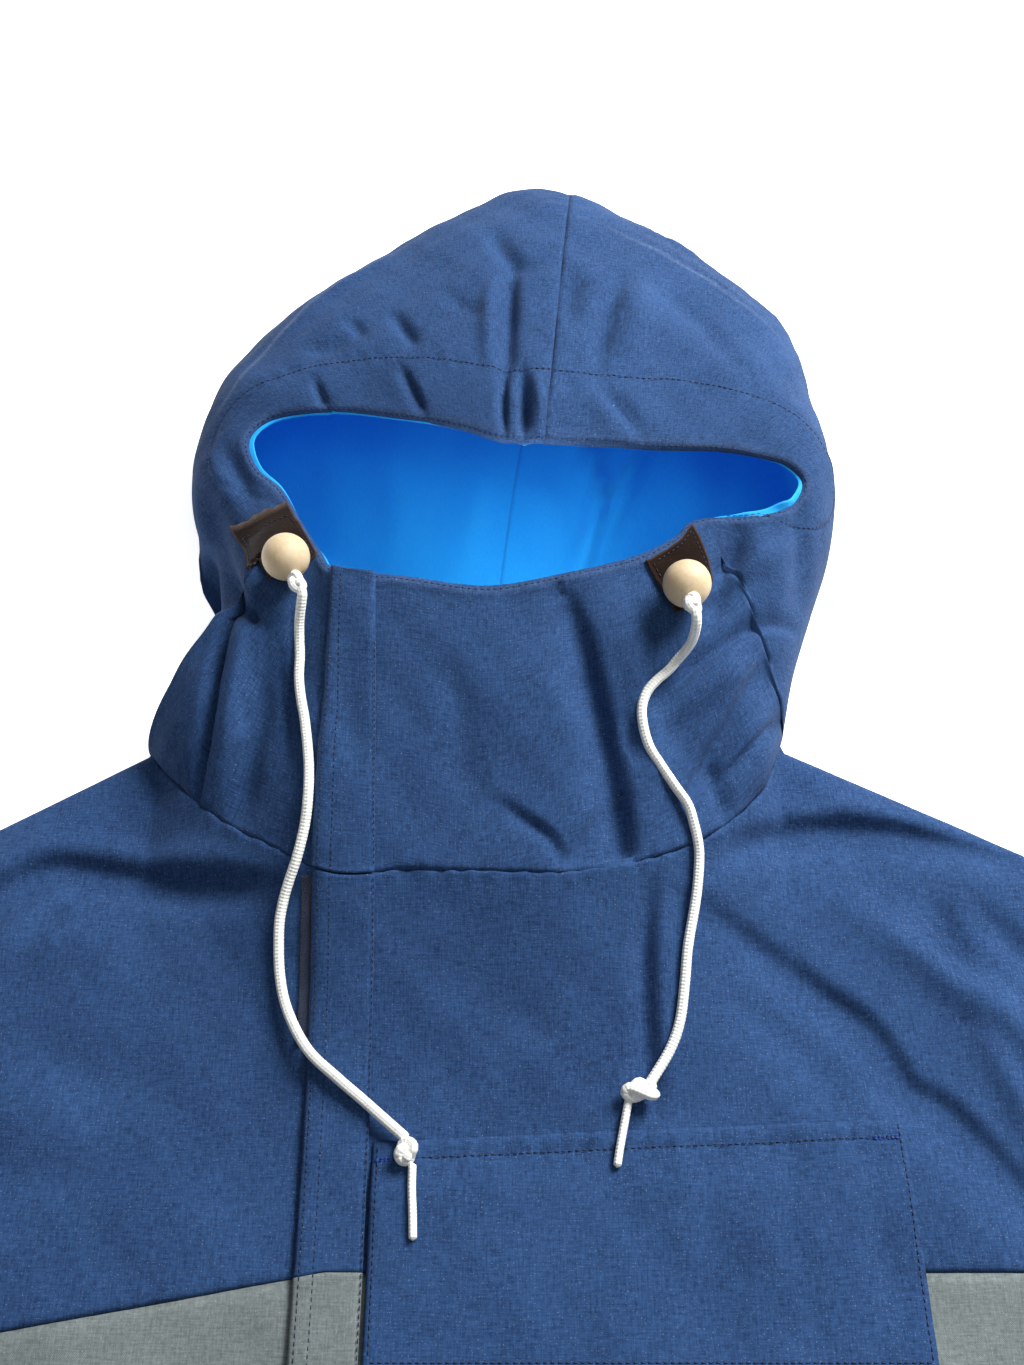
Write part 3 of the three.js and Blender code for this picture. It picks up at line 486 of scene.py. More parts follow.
def unevenness(x, y):
    """The slight waviness of cloth that was worn and laid out by hand."""
    waves = [(0.5, 61, 47, 0.3), (0.4, -38, 71, 1.9), (0.26, 29, -23, 4.1), (0.18, 17, 21, 2.2),
             (0.12, -13, 9, 5.0), (0.08, 8, -11, 0.9)]
    x, y = np.asarray(x, float), np.asarray(y, float)
    total = 0
    for tall, lx, ly, phase in waves:
        bend = 0.9 * np.sin((x * 0.9 + y) / 43 + phase)
        total = total + tall * np.sin(2 * math.pi * (x / lx + y / ly) / 2 + phase + bend)
    return total


def seam_pucker(distance, travel, depth=0.9, width=1.8, tug=0.35):
    """A seam draws its edge down, with small tucks beside it."""
    dip = -depth * np.exp(-((distance / width) ** 2))
    tucks = np.sin(travel / 1.9 + 1.3 * np.sin(travel / 7.3)) * np.exp(-((distance / 6) ** 2))
    return dip + tug * tucks


def body_face(x, y):
    """Top of the laid body with its folds."""
    lift = relief(x, y, BODY_FOLDS) + unevenness(x, y)
    flat = smooth(0, 18, np.maximum(0, body_top(x) - np.asarray(y, float)))
    side = smooth(0, 14, HALF_CHEST - np.abs(x)) * flat
    top = front_top(x, y)
    lift = lift * mix(0.25, 1, side)
    room = np.maximum(0.2, top - 2 * CLOTH - 0.6)
    return top + np.where(lift < 0, -room * np.tanh(-lift / room), lift)


def brim_roll(ts, grid):
    """The brim rolls down and back towards its edge over the crown."""
    ts = np.asarray(ts, float) % 2
    edge = np.stack([hood_points(t, np.zeros(1)) for t in ts])
    fall = np.linalg.norm(grid - edge, axis=-1, keepdims=True)
    crown = smooth(1.12, 1.3, ts) * (1 - smooth(1.8, 1.93, ts))
    return grid + np.exp(-fall / 18) * crown[:, None, None] * (0, 2.8, -6)


def hood_face(ts, rows, lift=0.0):
    """(points, normals) of the hood with its folds, moved out by lift."""
    grid, normals = hood_grid(ts, rows)
    grid = brim_roll(ts, grid)
    up = smooth(0.05, 0.45, normals[..., 2])
    x, y = grid[..., 0], grid[..., 1]
    rise = (relief(x, y, HOOD_FOLDS) + 1.3 * unevenness(x + 400, y)) * up
    rows = np.asarray(rows, float)
    rise = rise * smooth(0, 0.5, rows + 0.12) * (1 - smooth(13.7, 14, rows) * 0.8)
    return grid + normals * (rise + lift)[..., None], normals


# ---- cloth pieces ----

def add_piece(name, points, faces, uvs=None, wear_and_sheen=None):
    """A mesh object from millimetre points, with its own UV map in metres of cloth."""
    mesh = bpy.data.meshes.new(name)
    mesh.from_pydata((np.asarray(points) * MM).tolist(), [], np.asarray(faces).tolist())
    piece = bpy.data.objects.new(name, mesh)
    bpy.context.scene.collection.objects.link(piece)
    if uvs is not None:
        layer = mesh.uv_layers.new(name="cloth")
        loops = np.zeros(len(mesh.loops), np.int32)
        mesh.loops.foreach_get("vertex_index", loops)
        layer.data.foreach_set("uv", (np.asarray(uvs)[loops] * MM).astype(np.float32).ravel())
    # An optional point attribute of how pale the cloth is painted there: painted sheen on the hood's lit top edges,
    # and a band along its opening
    if wear_and_sheen is not None:
        pale_wear_and_sheen = mesh.attributes.new("wear_and_sheen", "FLOAT", "POINT")
        pale_wear_and_sheen.data.foreach_set("value", wear_and_sheen.astype(np.float32).ravel())
    mesh.shade_smooth()
    return piece


def grid_faces(columns, rows, around=False):
    i, j = np.meshgrid(np.arange(columns if around else columns - 1), np.arange(rows - 1), indexing="ij")
    nxt = (i + 1) % columns
    return np.stack([i * rows + j, i * rows + j + 1, nxt * rows + j + 1, nxt * rows + j], axis=-1).reshape(-1, 4)


def cloth_uvs(grid):
    """Each point's place on the cloth: how far across, and how far down its column."""
    across = np.concatenate([[0], np.cumsum(np.linalg.norm(np.diff(grid, axis=0), axis=2).mean(1))])
    down = column_distances(grid)
    return np.stack([np.broadcast_to(across[:, None], down.shape), -down], axis=-1)


def sheet_piece(name, grid, wall, uvs=None, around=False, wear_and_sheen=None):
    """A sheet of cloth from a grid of its outer face. The wall goes inwards and its edges are rounded."""
    uvs = cloth_uvs(grid) if uvs is None else uvs
    piece = add_piece(name, grid.reshape(-1, 3), grid_faces(*grid.shape[:2], around), uvs.reshape(-1, 2), wear_and_sheen)
    bpy.ops.object.select_all(action="DESELECT")
    piece.select_set(True)
    bpy.context.view_layer.objects.active = piece
    solid = piece.modifiers.new("wall", "SOLIDIFY")
    solid.thickness = wall * MM
    solid.offset = -1
    solid.use_rim = True
    bpy.ops.object.modifier_apply(modifier=solid.name)
    return piece


def finish_piece(piece, material, slot, *nodes):
    piece.data.materials.clear()
    piece.data.materials.append(material)
    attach(piece, "root")
    if nodes:
        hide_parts(*nodes)
    return piece


def body_grid(xs, top, bottom, steps, power=1.0, face=None):
    """Columns of points between a top and a bottom line on the body."""
    s = np.linspace(0, 1, steps + 1)[None] ** power
    y = mix(top(xs)[:, None], bottom(xs)[:, None], s)
    x = np.broadcast_to(xs[:, None], y.shape)
    z = (face or body_face)(x, y)
    return np.stack([x * taper(y), y, z], axis=-1)


def flat_uvs(grid):
    return grid[..., :2].copy()


# ---- stitches ----

class Stitches:
    """Gathers thread stitches and makes them one mesh."""

    def __init__(self, name):
        self.name = name
        self.points = []
        self.faces = []
        self.count = 0

    def run(self, route, normals, length=2.3, gap=0.9, thick=0.52):
        """Stitches along a route of surface points, lying on the cloth."""
        route = np.asarray(route, float)
        normals = np.broadcast_to(np.asarray(normals, float), route.shape)
        lengths = distances(route)
        starts = np.arange(0.5 * gap, lengths[-1] - length, length + gap)
        if not len(starts):
            return

        def read(table, at):
            return np.stack([np.interp(at, lengths, table[:, k]) for k in range(3)], axis=-1)

        a, middle, b = (read(route, starts + length * s) for s in (0, 0.5, 1))
        up = unit(read(normals, starts + length / 2))
        ahead = unit(b - a)
        across = unit(np.cross(up, ahead))
        r = thick / 2
        sections = [(a, 0.4, -0.16), (a + ahead * 1.4 * r, 1, 0.12), (middle, 1.05, 0.2),
                    (b - ahead * 1.4 * r, 1, 0.12), (b, 0.4, -0.16)]
        rings = [np.stack([centre + up * (height + 0.75 * r * size * math.sin(q)) + across * (r * size * math.cos(q))
                           for q in np.arange(6) * math.pi / 3], axis=1) for centre, size, height in sections]
        self.points.append(np.stack(rings, axis=1).reshape(-1, 3))
        for _ in starts:
            at = self.count
            self.faces += [(at + m * 6 + k, at + m * 6 + (k + 1) % 6, at + m * 6 + 6 + (k + 1) % 6, at + m * 6 + 6 + k)
                           for m in range(4) for k in range(6)]
            self.faces += [tuple(at + k for k in range(5, -1, -1)), tuple(at + 24 + k for k in range(6))]
            self.count += 30

    def make(self, material, slot):
        mesh = bpy.data.meshes.new(self.name)
        mesh.from_pydata((np.vstack(self.points) * MM).tolist(), [], self.faces)
        piece = bpy.data.objects.new(self.name, mesh)
        bpy.context.scene.collection.objects.link(piece)
        mesh.shade_smooth()
        return finish_piece(piece, material, slot)


# ---- materials ----

def srgb(code):
    """A colour from its sRGB hex value, as the shader's linear RGBA."""
    parts = [int(code[k:k + 2], 16) / 255 for k in (1, 3, 5)]
    return (*[c / 12.92 if c <= 0.04045 else ((c + 0.055) / 1.055) ** 2.4 for c in parts], 1)


def node(tree, kind, settings=None, **inputs):
    """Adds a shader node with settings, and links or values for its inputs, by name or as i and a number."""
    made = tree.nodes.new(kind)
    for key, value in (settings or {}).items():
        setattr(made, key, value)
    for key, value in inputs.items():
        if key[0] == "i" and key[1:].isdigit():
            socket = made.inputs[int(key[1:])]
        else:
            socket = next(s for s in made.inputs if s.name == key.replace("_", " ") and s.enabled)
        if isinstance(value, bpy.types.NodeSocket):
            tree.links.new(value, socket)
        else:
            socket.default_value = value
    return made


def new_material(name, roughness, **constants):
    material = bpy.data.materials.new(name)
    material.use_nodes = True
    tree = material.node_tree
    shader = tree.nodes["Principled BSDF"]
    shader.inputs["Roughness"].default_value = roughness
    for key, value in constants.items():
        shader.inputs[key.replace("_", " ")].default_value = value
    return material, tree, shader


def math_node(tree, operation, *values):
    inputs = {f"i{k}": value for k, value in enumerate(values)}
    return node(tree, "ShaderNodeMath", {"operation": operation}, **inputs).outputs[0]


def blend(tree, share, first, second):
    return node(tree, "ShaderNodeMix", {"data_type": "RGBA"}, i0=share, i6=first, i7=second).outputs[2]


def speckle(tree, where, scale, detail, **more):
    """Even noise with marks of 1 / scale metres."""
    return node(tree, "ShaderNodeTexNoise", None, Vector=where, Scale=scale, Detail=detail, **more).outputs["Fac"]


def two_tone(tree, share, dark, light):
    """Colours from dark to light, each a (position, hex) pair."""
    ramp = node(tree, "ShaderNodeValToRGB", None, Fac=share)
    for stop, (position, code) in zip(ramp.color_ramp.elements, (dark, light)):
        stop.position = position
        stop.color = srgb(code)
    return ramp.outputs[0]


def roughen(tree, shader, height, strength, distance):
    rise = node(tree, "ShaderNodeBump", None, Strength=strength, Distance=distance, Height=height)
    tree.links.new(rise.outputs[0], shader.inputs["Normal"])


def stretched_noise(tree, where, across, down, turn=0.0, detail=2.0, rough=0.5):
    """Noise whose marks are across by down metres."""
    placed = node(tree, "ShaderNodeMapping", None, Vector=where, Scale=(1 / across, 1 / down, 1),
                  Rotation=(0, 0, turn))
    return node(tree, "ShaderNodeTexNoise", {"noise_dimensions": "2D"}, Vector=placed.outputs[0], Scale=1.0,
                Detail=detail, Roughness=rough).outputs["Fac"]


def woven_cotton(name, dark, light, fleck, thread=0.0009, roughness=0.9, sheen=0.02, slub=0.5, bump=0.55,
                 fleck_share=0.72):
    """Dense plain-weave cotton: matte, with slubs along both threads, a slight fade, pale flecks of lint, and painted
    sheen and paling where the mesh marks them.

    The real threads are 0.25 mm apart, too fine to see, so they are drawn coarser.
    """
    material, tree, shader = new_material(name, roughness, Sheen_Weight=sheen, Sheen_Roughness=0.6)
    shader.inputs["Specular IOR Level"].default_value = 0.12
    uv = node(tree, "ShaderNodeUVMap", {"uv_map": "cloth"}).outputs[0]
    warp = stretched_noise(tree, uv, 0.00075, 0.009)
    weft = stretched_noise(tree, uv, 0.009, 0.00075)
    mottle = stretched_noise(tree, uv, 0.0022, 0.0022, detail=3.0, rough=0.65)
    fade = stretched_noise(tree, uv, 0.05, 0.065, detail=4.0, rough=0.6)
    threads = math_node(tree, "ADD", warp, weft)
    mixed = math_node(tree, "MULTIPLY_ADD", threads, slub, 0.5 - slub)
    for marks, amount in ((mottle, 0.55), (fade, 0.3)):
        centred = math_node(tree, "SUBTRACT", marks, 0.5)
        mixed = math_node(tree, "ADD", mixed, math_node(tree, "MULTIPLY", centred, amount))
    dyed = two_tone(tree, mixed, (0.22, dark), (0.78, light))
    lint = stretched_noise(tree, uv, 0.0009, 0.0007, detail=1.0)
    lint_on = node(tree, "ShaderNodeMapRange", None, Value=lint, i1=fleck_share,
                   i2=fleck_share + 0.07).outputs[0]
    colour = blend(tree, math_node(tree, "MULTIPLY", lint_on, 0.34), dyed, srgb(fleck))
    # Painted sheen: the cloth pales towards the fleck colour, broken by the mottle, where the mesh's attribute marks
    # it; on the hood that is the lit top edges of the crown and a band along the face opening
    wear_and_sheen = node(tree, "ShaderNodeAttribute", {"attribute_name": "wear_and_sheen"}).outputs["Fac"]
    pale_wear_and_sheen = math_node(tree, "MULTIPLY", wear_and_sheen, math_node(tree, "MULTIPLY", mottle, 0.6))
    colour = blend(tree, pale_wear_and_sheen, colour, srgb(fleck))
    tree.links.new(colour, shader.inputs["Base Color"])
    split = node(tree, "ShaderNodeSeparateXYZ", None, Vector=uv)
    turns = 2 * math.pi / thread
    over, under = (math_node(tree, "SINE", math_node(tree, "MULTIPLY", way, turns))
                   for way in split.outputs[:2])
    weave = math_node(tree, "MULTIPLY", over, under)
    height = math_node(tree, "ADD", math_node(tree, "MULTIPLY", weave, 0.16), mixed)
    roughen(tree, shader, height, bump, 0.00035)
    return material


def thread_material(name, colour):
    """Polyester sewing thread: smooth, with a slight shine."""
    material, tree, shader = new_material(name, 0.55)
    place = node(tree, "ShaderNodeTexCoord").outputs["Object"]
    lit = (*[c * 1.5 for c in srgb(colour)[:3]], 1)
    twist = speckle(tree, place, 1400.0, 1.0)
    tree.links.new(blend(tree, twist, srgb(colour), lit), shader.inputs["Base Color"])
    return material


def suede_material():
    """Brown suede: a short nap that scatters light, rubbed paler in patches and along cut edges."""
    material, tree, shader = new_material("brown_suede", 0.95, Sheen_Weight=0.08, Sheen_Roughness=0.5)
    shader.inputs["Specular IOR Level"].default_value = 0.1
    place = node(tree, "ShaderNodeTexCoord").outputs["Object"]
    nap = speckle(tree, place, 900.0, 3.0)
    wear_and_sheen = speckle(tree, place, 120.0, 3.0)
    edge = node(tree, "ShaderNodeAttribute", {"attribute_name": "raw_edge"}).outputs["Fac"]
    base = blend(tree, math_node(tree, "MULTIPLY", nap, wear_and_sheen), srgb("#130a06"), srgb("#35241b"))
    colour = blend(tree, math_node(tree, "MULTIPLY", edge, 0.45), base, srgb("#63493a"))
    tree.links.new(colour, shader.inputs["Base Color"])
    roughen(tree, shader, nap, 0.8, 0.0004)
    return material


def wood_material():
    """Turned beech, sanded and unvarnished: pale, with fine darker grain lines."""
    material, tree, shader = new_material("sanded_beech", 0.55)
    place = node(tree, "ShaderNodeTexCoord").outputs["Object"]
    laid = node(tree, "ShaderNodeMapping", None, Vector=place, Rotation=(0.5, 0.9, 0.3), Scale=(1, 1, 0.16))
    grain = speckle(tree, laid.outputs[0], 520.0, 4.0, Roughness=0.6)
    rings = speckle(tree, laid.outputs[0], 110.0, 2.0)
    mixed = math_node(tree, "MULTIPLY_ADD", grain, 0.5, math_node(tree, "MULTIPLY", rings, 0.5))
    tree.links.new(two_tone(tree, mixed, (0.36, "#d2b88f"), (0.62, "#e0caa6")), shader.inputs["Base Color"])
    roughen(tree, shader, grain, 0.08, 0.0001)
    return material


def cord_material():
    """Braided cotton cord: off-white, matte, with a fine diagonal braid."""
    material, tree, shader = new_material("braided_cord", 0.8, Sheen_Weight=0.2)
    uv = node(tree, "ShaderNodeUVMap", {"uv_map": "cloth"}).outputs[0]
    split = node(tree, "ShaderNodeSeparateXYZ", None, Vector=uv)
    along_it = math_node(tree, "MULTIPLY", split.outputs[1], 2 * math.pi / 0.0034)
    around = math_node(tree, "MULTIPLY", split.outputs[0], 2 * math.pi * 4 / (math.pi * 0.005))
    one = math_node(tree, "SINE", math_node(tree, "ADD", along_it, around))
    two = math_node(tree, "SINE", math_node(tree, "SUBTRACT", along_it, around))
    braid = math_node(tree, "MULTIPLY_ADD", math_node(tree, "MULTIPLY", one, two), 0.5, 0.5)
    place = node(tree, "ShaderNodeTexCoord").outputs["Object"]
    soft = math_node(tree, "MULTIPLY", speckle(tree, place, 260.0, 3.0), 0.75)
    shade = math_node(tree, "MULTIPLY_ADD", braid, 0.35, soft)
    tree.links.new(two_tone(tree, shade, (0.18, "#c9cbc3"), (0.5, "#fbfbf4")), shader.inputs["Base Color"])
    roughen(tree, shader, braid, 0.6, 0.0005)
    return material


def loop_tape_material():
    """Loop fastener tape: a dark fuzzy pile."""
    material, tree, shader = new_material("loop_pile", 1.0, Sheen_Weight=0.3)
    place = node(tree, "ShaderNodeTexCoord").outputs["Object"]
    pile = speckle(tree, place, 1500.0, 3.0)
    tree.links.new(blend(tree, pile, srgb("#060a18"), srgb("#2b3a5c")), shader.inputs["Base Color"])
    roughen(tree, shader, pile, 1.0, 0.0008)
    return material


MATERIALS = {}


def material_of(kind):
    """The material of a finish, made the first time it is asked for."""
    if kind not in MATERIALS:
        colours = bpy.context.scene.anorak_colours
        makers = {
            "navy": lambda: woven_cotton("navy_cotton", colours.navy_dark, colours.navy_light, "#a9bad6"),
            "grey": lambda: woven_cotton("grey_cotton", colours.grey_dark, colours.grey_light, "#c9cfcb",
                                         slub=0.4),
            "azure": lambda: woven_cotton("azure_lining", colours.lining_dark, colours.lining_light, "#4fb4f4",
                                          thread=0.0007, roughness=0.6, sheen=0.05, slub=0.2, bump=0.15,
                                          fleck_share=0.8),
            "thread": lambda: thread_material("navy_thread", colours.thread),
            "lining_thread": lambda: thread_material("azure_thread", "#0b64b8"),
            "bar_tack": lambda: thread_material("blue_thread", "#17408c"),
            "suede": suede_material,
            "wood": wood_material,
            "cord": cord_material,
            "tape": loop_tape_material,
        }
        MATERIALS[kind] = makers[kind]()
    return MATERIALS[kind]


# ---- the piece makers ----


def round_tube(name, route, radius, sides=16, ends=0.8):
    """A round cord along a route in metres, closed with soft ends."""
    p = smooth_route(route, 8)
    lengths = distances(p)
    even = np.linspace(0, lengths[-1], max(12, int(lengths[-1] / 0.0011)))
    p = np.stack([np.interp(even, lengths, p[:, k]) for k in range(3)], axis=-1)
    ahead = unit(np.gradient(p, axis=0))
    side = np.zeros_like(p)
    v = np.cross(ahead[0], (0, 0, 1))
    if np.linalg.norm(v) < 0.1:
        v = np.cross(ahead[0], (1, 0, 0))
    side[0] = v / np.linalg.norm(v)
    for k in range(1, len(p)):
        v = side[k - 1] - ahead[k] * side[k - 1].dot(ahead[k])
        side[k] = v / np.linalg.norm(v)
    up = np.cross(ahead, side)
    q = np.arange(sides) * 2 * math.pi / sides
    away = np.minimum(even, even[-1] - even)
    size = np.sqrt(1 - (1 - np.clip(away / (radius * ends), 0, 1)) ** 2) * 0.92 + 0.08
    rings = p[:, None] + (radius * size)[:, None, None] * (side[:, None] * np.cos(q)[:, None]
                                                          + up[:, None] * np.sin(q)[:, None])
    points = rings.reshape(-1, 3)
    faces = [(i * sides + j, i * sides + (j + 1) % sides, (i + 1) * sides + (j + 1) % sides, (i + 1) * sides + j)
             for i in range(len(p) - 1) for j in range(sides)]
    last = (len(p) - 1) * sides
    faces += [tuple(range(sides - 1, -1, -1)), tuple(last + j for j in range(sides))]
    mesh = bpy.data.meshes.new(name)
    mesh.from_pydata(points.tolist(), [], faces)
    layer = mesh.uv_layers.new(name="cloth")
    for poly in mesh.polygons:
        for loop, vertex in zip(poly.loop_indices, poly.vertices):
            i, j = divmod(vertex, sides)
            if j == 0 and any(v % sides == sides - 1 for v in poly.vertices) and len(poly.vertices) == 4:
                j = sides
            layer.data[loop].uv = (j / sides * 2 * math.pi * radius, even[i])
    piece = bpy.data.objects.new(name, mesh)
    bpy.context.scene.collection.objects.link(piece)
    mesh.shade_smooth()
    return piece, p


# The looser end knot's cord: across, up and out, in millimetres
LOOSE_KNOT = [
    (7.6, 4.6, -0.4), (4.6, 2.2, -0.8), (1.6, -0.4, -1.9), (-3.4, -2.2, -1.5), (-6.8, -0.4, 0.2), (-5, 1.6, 1.8),
    (-0.4, 0.1, 2.7), (4.6, -1.8, 2.1), (7, -1, 0.1), (4.6, 0.9, -1.7), (2.2, 3.4, -1.2), (-0.4, 4.2, 0.3),
    (-2.6, 2.4, 0.4), (-3.6, -1, -1.2), (-4.6, -4.6, -0.6),
]


def overhand_knot(name, centre, ahead, facing, width, height, radius):
    """A tightened overhand knot: three lobes of cord wound round each other, width by height as seen."""
    ahead = Vector(ahead).normalized()
    facing = Vector(facing)
    facing = (facing - ahead * facing.dot(ahead)).normalized()
    side = facing.cross(ahead)
    route = []
    for k in range(49):
        q = math.radians(20) + math.radians(320) * k / 48
        r = (2 + math.cos(3 * q)) / 3
        across = (width / 2 - radius) * r * math.cos(2 * q)
        up = (height / 2 - radius) * r * math.sin(2 * q)
        out = 0.85 * radius * math.sin(3 * q)
        route.append(tuple(Vector(centre) + side * across + ahead * up + facing * out))
    return round_tube(name, route, radius, 14)[0]


class AnorakSizes(bpy.types.PropertyGroup):
    """Sizes that a user would change."""

    bead_radius: bpy.props.FloatProperty(name="Bead radius", description="Half the wooden bead's width",
                                         default=0.0122, unit="LENGTH")
    bore_radius: bpy.props.FloatProperty(name="Bore radius", description="Half the width of the bead's hole",
                                         default=0.0029, unit="LENGTH")
    cord_radius: bpy.props.FloatProperty(name="Cord radius", description="Half the drawcord's width",
                                         default=0.0025, unit="LENGTH")
    tip_radius: bpy.props.FloatProperty(name="Tip radius", description="Half the width of the cord's sealed tip",
                                        default=0.0019, unit="LENGTH")


class AnorakColours(bpy.types.PropertyGroup):
    """Colours that a user would change, as sRGB hex values."""

    navy_light: bpy.props.StringProperty(name="Navy, light threads", description="Lighter threads of the shell",
                                         default="#365787")
    navy_dark: bpy.props.StringProperty(name="Navy, dark threads", description="Darker threads of the shell",
                                        default="#1c3358")
    grey_light: bpy.props.StringProperty(name="Grey, light threads",
                                         description="Lighter threads of the lower body",
                                         default="#868f8f")
    grey_dark: bpy.props.StringProperty(name="Grey, dark threads",
                                        description="Darker threads of the lower body",
                                        default="#5c6565")
    lining_light: bpy.props.StringProperty(name="Lining, light threads",
                                           description="Lighter threads of the lining",
                                           default="#2bb4ff")
    lining_dark: bpy.props.StringProperty(name="Lining, dark threads",
                                          description="Darker threads of the lining",
                                          default="#149cf6")
    thread: bpy.props.StringProperty(name="Thread", description="Sewing thread", default="#0c1632")


class ANORAK_OT_stage(bpy.types.Operator):
    """Sets the floor, the light and the camera"""

    bl_idname = "anorak.stage"
    bl_label = "Stage"

    def execute(self, context):
        bpy.ops.object.select_all(action="DESELECT")
        bpy.ops.mesh.primitive_plane_add(size=14, location=(0, 0, -0.0006))
        floor = context.object
        floor.name = "floor"
        material, tree, shader = new_material("matt_paper", 0.95)
        place = node(tree, "ShaderNodeTexCoord").outputs["Object"]
        grain = speckle(tree, place, 3.0, 2.0)
        tree.links.new(blend(tree, grain, srgb("#fcfcfb"), srgb("#ffffff")), shader.inputs["Base Color"])
        shader.inputs["Emission Color"].default_value = srgb("#ffffff")
        shader.inputs["Emission Strength"].default_value = 0.8
        floor.data.materials.append(material)
        world = bpy.data.worlds.new("soft_sky")
        context.scene.world = world
        world.use_nodes = True
        world.node_tree.nodes["Background"].inputs[0].default_value = srgb("#f4f7ff")
        world.node_tree.nodes["Background"].inputs[1].default_value = 0.18
        for name, place, aim, size, power in LAMPS:
            lamp = bpy.data.lights.new(name, "AREA")
            lamp.energy = power
            lamp.size = size
            lit = bpy.data.objects.new(name, lamp)
            lit.visible_camera = False
            lit.location = place
            lit.rotation_euler = (Vector(aim) - Vector(place)).to_track_quat("-Z", "Y").to_euler()
            context.scene.collection.objects.link(lit)
        context.scene.view_settings.view_transform = "Standard"
        eye = bpy.data.cameras.new("camera")
        eye.lens = 35
        eye.sensor_fit = "VERTICAL"
        eye.sensor_height = 36
        eye.clip_start = 0.01
        camera = bpy.data.objects.new("camera", eye)
        camera.location = CAMERA_PLACE
        camera.rotation_euler = (math.radians(CAMERA_TILT), 0, 0)
        context.scene.collection.objects.link(camera)
        context.scene.camera = camera
        return {"FINISHED"}


class ANORAK_OT_cords(bpy.types.Operator):
    """Makes the two drawcords, their knots and their tips"""

    bl_idname = "anorak.cords"
    bl_label = "Drawcords"

    def execute(self, context):
        sizes = context.scene.anorak_sizes
        for side, route, tip in (("right", CORD_RIGHT, TIP_RIGHT), ("left", CORD_LEFT, TIP_LEFT)):
            hardware = HARDWARE[side]
            bead = np.array(hardware["bead"]) * MM
            bore = unit(np.array(hardware["bore"], float))
            knot_place = bead + bore * (sizes.bead_radius + 0.0043)
            width, height = (v * MM for v in hardware["bead_size"])
            upper = overhand_knot(f"bead_knot_{side}_braid", knot_place, bore, (0, -0.45, 1), width, height,
                                  KNOT_CORD_RADIUS["bead"])
            finish_piece(upper, material_of("cord"), "white_cord", f"bead_knot_{side}")
            end = np.array(hardware["end_knot"]) * MM
            width, height = (v * MM for v in hardware["end_size"])
            if side == "left":
                loose = [tuple(end + np.array([a, b, c + 0.1 * b]) * MM) for a, b, c in LOOSE_KNOT]
                lower = round_tube(f"end_knot_{side}_braid", loose, KNOT_CORD_RADIUS["end"], 14)[0]
            else:
                lower = overhand_knot(f"end_knot_{side}_braid", end, hardware["pull"], (0, -0.3, 1), width,
                                      height, KNOT_CORD_RADIUS["end"])
            finish_piece(lower, material_of("cord"), "white_cord", f"end_knot_{side}")
            inner = unit(np.array(route[-1]) - np.array(route[-2]))
            longer = [tuple(knot_place - bore * 0.003), *route, tuple(np.array(route[-1]) + inner * 0.003)]
            cord, path = round_tube(f"cord_{side}_braid", longer, sizes.cord_radius)
            finish_piece(cord, material_of("cord"), "white_cord", f"cord_{side}")
            start = tuple(np.array(tip[0]) - unit(np.array(tip[1]) - np.array(tip[0])) * 0.003)
            end_tip, _ = round_tube(f"cord_tip_{side}_sealed", [start, *tip], sizes.tip_radius, 14)
            finish_piece(end_tip, material_of("cord"), "white_cord", f"cord_tip_{side}")
        return {"FINISHED"}


class ANORAK_OT_beads(bpy.types.Operator):
    """Turns the two wooden beads, each bored through"""

    bl_idname = "anorak.beads"
    bl_label = "Beads"

    def execute(self, context):
        sizes = context.scene.anorak_sizes
        for side in ("right", "left"):
            bpy.ops.object.select_all(action="DESELECT")
            bpy.ops.mesh.primitive_uv_sphere_add(segments=64, ring_count=40, radius=sizes.bead_radius)
            bead = context.object
            bead.name = f"bead_{side}_turned"
            bpy.ops.object.mode_set(mode="EDIT")
            bpy.ops.mesh.select_all(action="DESELECT")
            bpy.ops.object.mode_set(mode="OBJECT")
            for face in bead.data.polygons:
                face.select = math.hypot(*face.center[:2]) < sizes.bore_radius * 0.9
            bpy.ops.object.mode_set(mode="EDIT")
            bpy.ops.mesh.select_mode(type="FACE")
            bpy.ops.mesh.delete(type="FACE")
            bpy.ops.mesh.select_mode(type="EDGE")
            bpy.ops.mesh.select_non_manifold()
            bpy.ops.mesh.bridge_edge_loops()
            bpy.ops.mesh.normals_make_consistent(inside=False)
            bpy.ops.object.mode_set(mode="OBJECT")
            edge = bead.modifiers.new("worn_mouth", "BEVEL")
            edge.width = 0.0004
            edge.segments = 3
            edge.limit_method = "ANGLE"
            bpy.ops.object.modifier_apply(modifier=edge.name)
            hardware = HARDWARE[side]
            turn = Vector((0, 0, 1)).rotation_difference(Vector(hardware["bore"]).normalized())
            bead.rotation_mode = "QUATERNION"
            bead.rotation_quaternion = turn
            bead.location = Vector(hardware["bead"]) * MM
            bpy.ops.object.transform_apply(location=True, rotation=True, scale=True)
            bpy.ops.object.shade_smooth_by_angle(angle=math.radians(40))
            finish_piece(bead, material_of("wood"), "pale_wood", f"bead_{side}")
        return {"FINISHED"}


